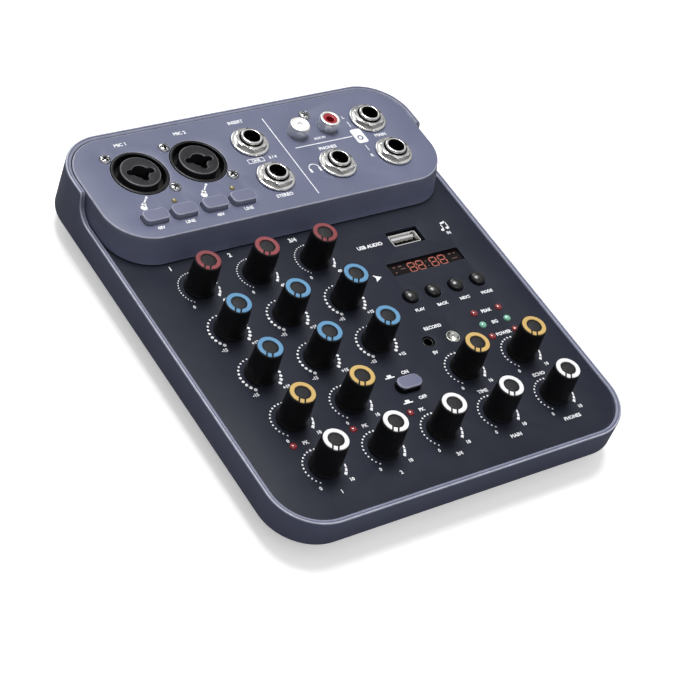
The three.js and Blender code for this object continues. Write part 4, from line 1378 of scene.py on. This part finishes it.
def raised_marks(outlines, bottom, top):
    """One patch of small flat-topped marks. outlines is an (n, k, 2) array of n shapes with k
    corners each, counter-clockwise, and each becomes a closed prism."""
    count, corners = outlines.shape[:2]
    low = np.concatenate([outlines, np.full((count, corners, 1), bottom)], axis=-1)
    high = np.concatenate([outlines, np.full((count, corners, 1), top)], axis=-1)
    points = np.stack([low, high], axis=1).reshape(-1, 3)
    base = (np.arange(count) * 2 * corners)[:, None]
    ring = np.arange(corners)[None]
    following = (ring + 1) % corners
    sides = np.stack([base + ring, base + following, base + following + corners, base + ring + corners],
                     axis=-1).reshape(-1, 4)
    tops = base + corners + ring
    bottoms = (base + ring)[:, ::-1]
    return points, sides.tolist() + tops.tolist() + bottoms.tolist(), True, None


def digit_bars():
    """The seven bars of an 8 for each digit: a six-cornered bar, turned upright for four places."""
    width, height = DIGIT_SIZE
    half, tip = BAR_WIDTH / 2, BAR_WIDTH / 2
    long_x = width / 2 - 0.15
    long_y = height / 4 - 0.15
    flat_bar = np.array([[-long_x, 0], [-long_x + tip, -half], [long_x - tip, -half], [long_x, 0],
                         [long_x - tip, half], [-long_x + tip, half]])
    upright = np.array([[0, -long_y], [half, -long_y + tip], [half, long_y - tip], [0, long_y],
                        [-half, long_y - tip], [-half, -long_y + tip]])
    flat_spots = np.array([[0, -height / 2], [0, 0], [0, height / 2]])
    tall_spots = np.array([[x, y] for x in (-width / 2, width / 2) for y in (-height / 4, height / 4)])
    bars = np.concatenate([flat_bar + flat_spots[:, None], upright + tall_spots[:, None]])
    spots = np.column_stack([DIGIT_SPOTS, np.full(len(DIGIT_SPOTS), window_centre[1] - 0.55)])
    return (bars[None] + spots[:, None, None]).reshape(-1, 6, 2)


weld("display_digits", [raised_marks(digit_bars(), window_top - BAR_SINK, window_top + BAR_LIFT)],
     digit_glow)


def small_boxes(spots, sizes):
    """Rectangles about the given spots."""
    spots, sizes = np.asarray(spots, dtype=float), np.asarray(sizes, dtype=float) / 2
    corner = np.array([[-1, -1], [1, -1], [1, 1], [-1, 1]])
    return spots[:, None] + corner[None] * sizes[:, None]


symbol_y = window_centre[1]
faint = small_boxes(
    [(30.0, symbol_y + 1.3), (32.8, symbol_y + 1.3), (29.6, symbol_y - 1.4), (33.6, symbol_y - 0.2),
     (57.6, symbol_y + 1.2), (59.9, symbol_y + 1.2), (58.6, symbol_y - 1.3), (45.3, symbol_y - 1.8),
     (45.3, symbol_y + 0.7)],
    [(1.2, 0.5), (1.6, 0.5), (0.7, 0.7), (2.2, 0.4), (1.4, 0.5), (1.0, 0.5), (2.6, 0.4), (0.5, 0.5),
     (0.5, 0.5)])
weld("display_symbols", [raised_marks(faint, window_top - BAR_SINK, window_top + BAR_LIFT)], digit_dim)
print("digits:", len(DIGIT_SPOTS), "faint marks:", len(faint))

# %% [markdown]
# ## The two small round sockets
# One is a black sleeve with a narrow bore, and the other a shallow bright dish. Each is turned,
# and stands on a moulded block that reaches down to the board.

# %% Small sockets
small = middle("small_round_socket")
small_low, small_high = span("small_round_socket")
sleeve = rounded_profile(
    [[0, 10.0], [2.4, 10.0], [2.4, small_high[2]], [1.6, small_high[2]], [1.5, 11.0], [0, 11.0]],
    [0, 0.25, 0.25, 0.1], 4)
socket = weld("small_socket_sleeve", [lathe(small, sleeve, 40)], socket_plastic)
weld("small_socket_block", slab(footprint("small_round_socket", 0.5, 3), small_low[2], 9.9),
     socket_plastic)
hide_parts("small_round_socket")

metal = middle("metal_round_socket")
metal_low, metal_high = span("metal_round_socket")
bowl_share = np.linspace(1, 0, 9)
bowl = np.column_stack([2.5 * bowl_share, metal_high[2] + 0.1 - 1.35 * (1 - bowl_share ** 2)])
barrel = rounded_profile(
    [[0, 14.0], [2.9, 14.0], [2.9, metal_high[2] + 0.25], [2.5, metal_high[2] + 0.2]], [0, 0.2], 4)
dish = np.concatenate([barrel, bowl])
socket = weld("metal_socket_dish", [lathe(metal, dish, 48)], dish_nickel)
weld("metal_socket_block", slab(footprint("metal_round_socket", 0.5, 3), metal_low[2], 13.9),
     socket_plastic)
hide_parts("metal_round_socket")
print("small sockets at", round(small[0], 1), "and", round(metal[0], 1))

# %% [markdown]
# ## Lamps
# Small lamps show level and signal. Each is a clear tinted dome that stands out of the plate by
# about a millimetre, so it catches a point of light.

# %% Lamp domes
LAMPS = [
    ("peak", "red", 1.5, panel_top, [(47.65, -24.8), (59.8, -24.9)]),
    ("signal", "green", 1.5, panel_top, [(47.65, -31.0), (59.8, -31.0)]),
    ("power", "red", 1.5, panel_top, [(47.8, -37.3), (59.6, -36.9)]),
    ("channel", "red", 1.4, panel_top, [(-58.5, -58.5), (-32.7, -59.0), (-7.0, -59.4)]),
    ("input", "yellow", 1.15, pod_top, [(-46.8, 53.5), (-20.8, 53.6)]),
]
LENSES = {"red": lamp_red, "green": lamp_green, "yellow": lamp_yellow}


def lamp(name, colour, radius, plate, centre):
    """A dome whose profile is a quarter of an ellipse, with a skirt that reaches into the plate."""
    turn = np.linspace(0, np.pi / 2, 9)
    rise = 0.62 * radius
    dome = np.column_stack([radius * np.cos(turn), plate + 0.08 + rise * np.sin(turn)])
    profile = np.vstack([[0, plate - 0.3], [radius, plate - 0.3], dome])
    profile[-1, 0] = 0
    weld(name, [lathe(centre, profile, 32)], LENSES[colour])


for label, colour, radius, plate, spots in LAMPS:
    for number, spot in enumerate(spots, 1):
        lamp(f"{label}_lamp_{number}", colour, radius, plate, spot)
print("lamps:", sum(len(spots) for *_, spots in LAMPS))

# %% [markdown]
# ## Printed scales and signs
# The scales round the knobs are ink, a few hundredths of a millimetre thick. Every dot, wedge
# and bar is a small flat prism, and all of them on one plate are one piece. Numbers and plain
# words are font curves turned to mesh, and they are generic.

# %% Dial scales
INK_SINK = 0.02
INK_LIFT = 0.05
SCALE_RADIUS = 7.95
SCALE_START = 228.0


def dots(centre, bearings, sizes, radius=SCALE_RADIUS, corners=10):
    """Round dots at compass angles round a centre, as an (n, corners, 2) array."""
    bearings, sizes = np.radians(bearings), np.asarray(sizes, dtype=float)
    spots = np.column_stack([centre[0] + radius * np.cos(bearings),
                             centre[1] + radius * np.sin(bearings)])
    unit = circle((0, 0), 1.0, corners)
    return spots[:, None] + unit[None] * sizes[:, None, None]


def wedge_bars(centre, start, end, count, thin, thick, radius=SCALE_RADIUS + 0.1):
    """Short bars along an arc, each wider than the last, with small gaps between them."""
    edges = np.radians(np.linspace(start, end, count + 1))
    gap = np.radians(1.3) * np.sign(end - start)
    first, last = edges[:-1] + gap, edges[1:] - gap
    widths = np.linspace(thin, thick, count + 1) / 2
    inner = np.column_stack([radius - widths[:-1], radius - widths[1:]])
    outer = np.column_stack([radius + widths[:-1], radius + widths[1:]])
    angle = np.stack([first, last, last, first], axis=-1)
    reach = np.stack([inner[:, 0], inner[:, 1], outer[:, 1], outer[:, 0]], axis=-1)
    points = np.stack([centre[0] + reach * np.cos(angle), centre[1] + reach * np.sin(angle)], axis=-1)
    return points[:, ::-1] if end > start else points


def inked(marks, plate):
    """Marks as ink on a plate: sunk a little into it, and a little proud of it."""
    return raised_marks(marks, plate - INK_SINK, plate + INK_LIFT)


def knob_scale(name):
    """The marks round one knob: plain knobs have growing dots and a wedge, blue knobs have dots that
    swell towards both ends, and red knobs have more, finer dots of one size and the same wedge."""
    centre = middle(name)[:2]
    colour = name.split("_")[0]
    if colour == "blue":
        bearings = SCALE_START - np.linspace(0, 276, 22)
        away = np.abs(np.linspace(-1, 1, 22))
        return [dots(centre, bearings, 0.34 + 0.38 * away ** 1.4)], []
    steps = 20 if colour != "red" else 26
    bearings = SCALE_START - np.linspace(0, 226, steps)
    sizes = np.linspace(0.32, 0.46, steps) if colour != "red" else np.full(steps, 0.28)
    return [dots(centre, bearings, sizes)], [wedge_bars(centre, -10, -48, 3, 0.5, 1.15)]


# %% [markdown]
# ## Words
# Letters could be left as font curves, but a curve cannot be part of the one printed piece. So
# each word is made a mesh at once, moved to its place, and given to the print as a patch.

# %% Words and numbers


def lettering(lines, plate):
    """Patches for words: each line is (text, x, y, height). A font curve with a thin extrusion
    is read as a mesh and moved to its place."""
    curves = []
    for index, (text, x, y, height) in enumerate(lines):
        curve = bpy.data.curves.new(f"word_{index}", "FONT")
        curve.body = text
        curve.size = height * 1.38
        curve.align_x, curve.align_y = "CENTER", "CENTER"
        curve.extrude = (INK_SINK + INK_LIFT) / 2
        curve.offset = 0.05 * height
        curve.resolution_u = 2
        holder = bpy.data.objects.new(f"word_{index}", curve)
        bpy.context.collection.objects.link(holder)
        curves.append((holder, x, y))
    bpy.context.view_layer.update()
    graph = bpy.context.evaluated_depsgraph_get()
    patches = []
    for holder, x, y in curves:
        mesh = bpy.data.meshes.new_from_object(holder.evaluated_get(graph))
        flat = np.empty(len(mesh.vertices) * 3)
        mesh.vertices.foreach_get("co", flat)
        points = flat.reshape(-1, 3)
        faces = [list(face.vertices) for face in mesh.polygons]
        points = points + np.array([x, y, plate + (INK_LIFT - INK_SINK) / 2])
        patches.append((points, faces, True, None))
        data = holder.data
        bpy.data.objects.remove(holder)
        bpy.data.curves.remove(data)
        bpy.data.meshes.remove(mesh)
    return patches


KNOB_WORDS = {
    "white": ("0", "10"), "yellow": ("0", "10"), "blue": ("-15", "+15"), "red": ("0", "40"),
}
KNOB_NAMES = {"1_1": "1", "1_2": "2", "1_3": "3/4", "1_4": "MAIN", "1_5": "PHONES", "2_4": "TIME",
              "2_5": "ECHO"}


def panel_words():
    """Scale ends and names for every knob, then the words beside lamps, buttons and sockets."""
    lines = []
    for name in KNOBS:
        x, y = middle(name)[:2]
        colour, place = name.split("_knob_")
        least, most = KNOB_WORDS[colour]
        lines.append((least, x - 6.6, y - 8.2, 1.45))
        lines.append((most, x + 6.7, y - 8.4, 1.45))
        if place in KNOB_NAMES:
            lines.append((KNOB_NAMES[place], x + 0.2, y - 11.9, 1.55))
    lines += [("1", -58.3, 30.9, 2.0), ("2", -32.1, 30.8, 2.0), ("3/4", -3.2, 30.8, 2.0)]
    lines += [("USB AUDIO", 26.4, 19.0, 1.7), ("IN", 64.0, 16.2, 1.4)]
    lines += [("PEAK", 53.7, -24.9, 1.5), ("SIG", 53.7, -31.0, 1.5),
              ("POWER", 53.7, -37.1, 1.5)]
    lines += [("PK", -53.2, -58.5, 1.5), ("PK", -27.5, -59.0, 1.5), ("PK", -1.8, -59.4, 1.5)]
    lines += [(word, x, -16.4, 1.4) for word, x in
              zip(("PLAY", "BACK", "NEXT", "MODE"), (27.1, 38.1, 49.3, 60.3))]
    lines += [("5V", 20.1, -37.2, 1.5), ("RECORD", 26.6, -25.7, 1.5)]
    lines += [("ON", 2.4, -41.8, 1.5), ("OFF", 2.2, -54.4, 1.5)]
    return lines


# %% [markdown]
# ## The ink on the panel
# Scales, signs and words on the plate share one ink and one piece. The signs are drawn from a
# few corners and circles each, as closed prisms.

# %% Panel print


def poly(*corners):
    """One mark from its corners, as a (1, k, 2) array."""
    return np.array([corners], dtype=float)


def arc_mark(centre, radius, width, start, end, steps=24):
    """A bent bar: the outer arc forwards and the inner arc back again, as one closed outline."""
    angle = np.radians(np.linspace(start, end, steps + 1))
    both = np.concatenate([angle, angle[::-1]])
    reach = np.repeat([radius + width / 2, radius - width / 2], steps + 1)
    return np.column_stack([centre[0] + reach * np.cos(both), centre[1] + reach * np.sin(both)])[None]


def music_sign(x, y):
    """Two note heads, two stems and a beam."""
    heads = circle((0, 0), 1.0, 12)[None] * np.array([0.85, 0.62]) + np.array([[[x - 1.2, y - 1.7]],
                                                                               [[x + 1.5, y - 1.2]]])
    stems = small_boxes([(x - 0.5, y + 0.1), (x + 2.2, y + 0.6)], [(0.38, 3.6), (0.38, 3.6)])
    beam = poly((x - 0.69, y + 1.1), (x + 2.39, y + 1.7), (x + 2.39, y + 2.6), (x - 0.69, y + 2.0))
    return [heads, stems, beam]


def switch_sign(x, y):
    """A low step with a knob on it: the sign for a push switch."""
    return [small_boxes([(x, y - 0.6), (x, y + 0.2)], [(4.2, 0.55), (1.9, 1.1)])]


panel_marks = []
for knob in KNOBS:
    dotted, wedges = knob_scale(knob)
    panel_marks += dotted + wedges
panel_marks += music_sign(63.6, 20.0)
panel_marks += switch_sign(-5.0, -41.8) + switch_sign(-5.0, -54.4)
panel_marks.append(poly((18.2, 1.4), (21.6, 3.2), (18.2, 5.0), (19.0, 3.2)))
panel_print = [inked(marks, panel_top) for marks in panel_marks]
weld("panel_print", panel_print + lettering(panel_words(), panel_top), ink)
print("marks on the panel:", sum(len(marks) for marks in panel_marks))

# %% [markdown]
# ## The ink on the jack block
# The jack block has its own print: instrument and headphone signs, dividing lines, a boxed word
# and the names of the sockets.

# %% Jack block print


def guitar_sign(x, y):
    """A small plucked instrument: a two-lobed body, a neck that leans right, and a head."""
    body = circle((0, 0), 1.0, 14)
    lower = body[None] * 1.35 + np.array([[[x - 0.5, y - 1.4]]])
    upper = body[None] * 0.95 + np.array([[[x + 0.2, y + 0.1]]])
    neck = poly((x + 0.5, y + 0.2), (x + 2.9, y + 2.8), (x + 2.5, y + 3.15), (x + 0.1, y + 0.6))
    head = poly((x + 2.8, y + 2.5), (x + 3.7, y + 3.4), (x + 3.1, y + 4.0), (x + 2.2, y + 3.1))
    return [lower, upper, neck, head]


def headphone_sign(x, y):
    """A headband over two ear pads."""
    band = arc_mark((x, y - 0.1), 2.3, 0.42, 0, 180, 16)
    pads = small_boxes([(x - 2.2, y - 1.1), (x + 2.2, y - 1.1)], [(0.95, 1.9), (0.95, 1.9)])
    return [band, pads]


def frame_marks(x0, x1, y0, y1, line=0.28):
    """Four thin bars that box in a word."""
    x, y = (x0 + x1) / 2, (y0 + y1) / 2
    return small_boxes([(x, y0), (x, y1), (x0, y), (x1, y)],
                       [(x1 - x0 + line, line), (x1 - x0 + line, line), (line, y1 - y0 - line),
                        (line, y1 - y0 - line)])


def speaker_sign(x, y):
    """A loudspeaker seen from the front: a frame with its cone left open."""
    body = bar_hole((x, y), 5.2, 8.0, 1.1, 4)(0)
    return body, [circle((x, y - 1.0), 1.35, 24)]


pod_marks = guitar_sign(-59.6, 54.6) + guitar_sign(-33.1, 54.6) + headphone_sign(18.6, 54.6)
pod_marks.append(frame_marks(-6.6, 0.6, 63.6, 65.7))
pod_marks.append(small_boxes([(12.5, 63.6), (31.0, 66.7)], [(0.42, 43.8), (27.8, 0.42)]))
pod_marks.append(small_boxes([(47.6, 73.3), (47.6, 59.2), (52.4, 73.3), (52.4, 59.2)],
                             [(0.35, 3.2), (0.35, 3.2), (0.35, 1.6), (0.35, 1.6)]))
pod_print = [inked(marks, pod_top) for marks in pod_marks]
speaker_outline, speaker_holes = speaker_sign(48.1, 66.2)
pod_print += plate_patches(
    [(speaker_outline, pod_top - INK_SINK), (speaker_outline, pod_top + INK_LIFT)],
    [lambda offset, hole=hole: hole for hole in speaker_holes], 0.0, 1)
cone = circle((48.1, 65.2), 0.75, 16)[None]
pod_print.append(inked(cone, pod_top))
pod_words = [
    ("MIC 1", -52.4, 86.3, 1.6), ("MIC 2", -25.8, 86.3, 1.6), ("INSERT", 0.1, 86.3, 1.6),
    ("LINE", -3.0, 64.65, 1.3), ("3 / 4", 4.9, 64.65, 1.4), ("STEREO", -1.7, 44.5, 1.6),
    ("AUX IN", 30.6, 69.4, 1.15), ("PHONES", 30.8, 63.6, 1.6), ("MAIN", 57.7, 64.5, 1.6),
    ("L", 47.2, 77.6, 1.5), ("R", 47.2, 54.8, 1.5),
]
pod_words += [(word, x, 42.0, 1.45) for word, x in
              zip(("48V", "LINE", "48V", "LINE"), [middle(name)[0] for name in POD_CAPS])]
weld("jack_block_print", pod_print + lettering(pod_words, pod_top), ink)
print("marks on the jack block:", sum(len(marks) for marks in pod_marks))

# %% [markdown]
# ## Parts that keep their shape
# The cover below, the boards, the feet and the power inlet are right as they come from the
# model. They only take a finish, put into their own material slots.

# %% CAD nodes that keep their shape
KEPT = {
    "bottom_cover": cover_plastic, "main_circuit_board": board_mask, "jack_circuit_board": board_mask,
    "power_inlet": socket_plastic,
}
KEPT.update({name: foot_rubber for name in NODES if name.startswith("foot_")})
for name, material in KEPT.items():
    node = NODES[name]
    node.data.materials.clear()
    node.data.materials.append(material)
print("nodes kept as they are:", len(KEPT))

# %% [markdown]
# ## The sheet below
# The console stands on a plain pale sheet. A sheet this wide would throw too much light back up
# at the case, so it is dimmer to every ray except those of the view.

# %% Floor


def dim_the_bounce(material, share, lift):
    """The sheet looks white, but sends less light back up, as a smaller sheet would: rays other
    than the view's own meet a darker tone. The view alone also sees a faint glow of the sheet,
    which keeps the shadows pale."""
    tree = material.node_tree
    shader = tree.nodes["Principled BSDF"]
    seen = shader.inputs["Base Color"].links[0].from_socket
    mix = tree.nodes.new("ShaderNodeMix")
    mix.data_type = "RGBA"
    mix.inputs["A"].default_value = (share, share, share, 1)
    path = tree.nodes.new("ShaderNodeLightPath")
    tree.links.new(path.outputs["Is Camera Ray"], mix.inputs["Factor"])
    tree.links.new(seen, mix.inputs["B"])
    tree.links.new(mix.outputs["Result"], shader.inputs["Base Color"])
    glow = tree.nodes.new("ShaderNodeMix")
    glow.data_type = "RGBA"
    glow.inputs["A"].default_value = (0, 0, 0, 1)
    glow.inputs["B"].default_value = (lift, lift, lift, 1)
    tree.links.new(path.outputs["Is Camera Ray"], glow.inputs["Factor"])
    tree.links.new(glow.outputs["Result"], shader.inputs["Emission Color"])
    shader.inputs["Emission Strength"].default_value = 1.0


dim_the_bounce(floor_paint, 0.1, 0.4)


def add_floor():
    """A wide plain sheet at the height of the feet."""
    half = 3.0
    mesh = bpy.data.meshes.new("floor")
    mesh.from_pydata([(-half, -half, 0), (half, -half, 0), (half, half, 0), (-half, half, 0)], [],
                     [(0, 1, 2, 3)])
    mesh.materials.append(floor_paint)
    floor = bpy.data.objects.new("floor", mesh)
    bpy.context.collection.objects.link(floor)


add_floor()
print("floor laid")
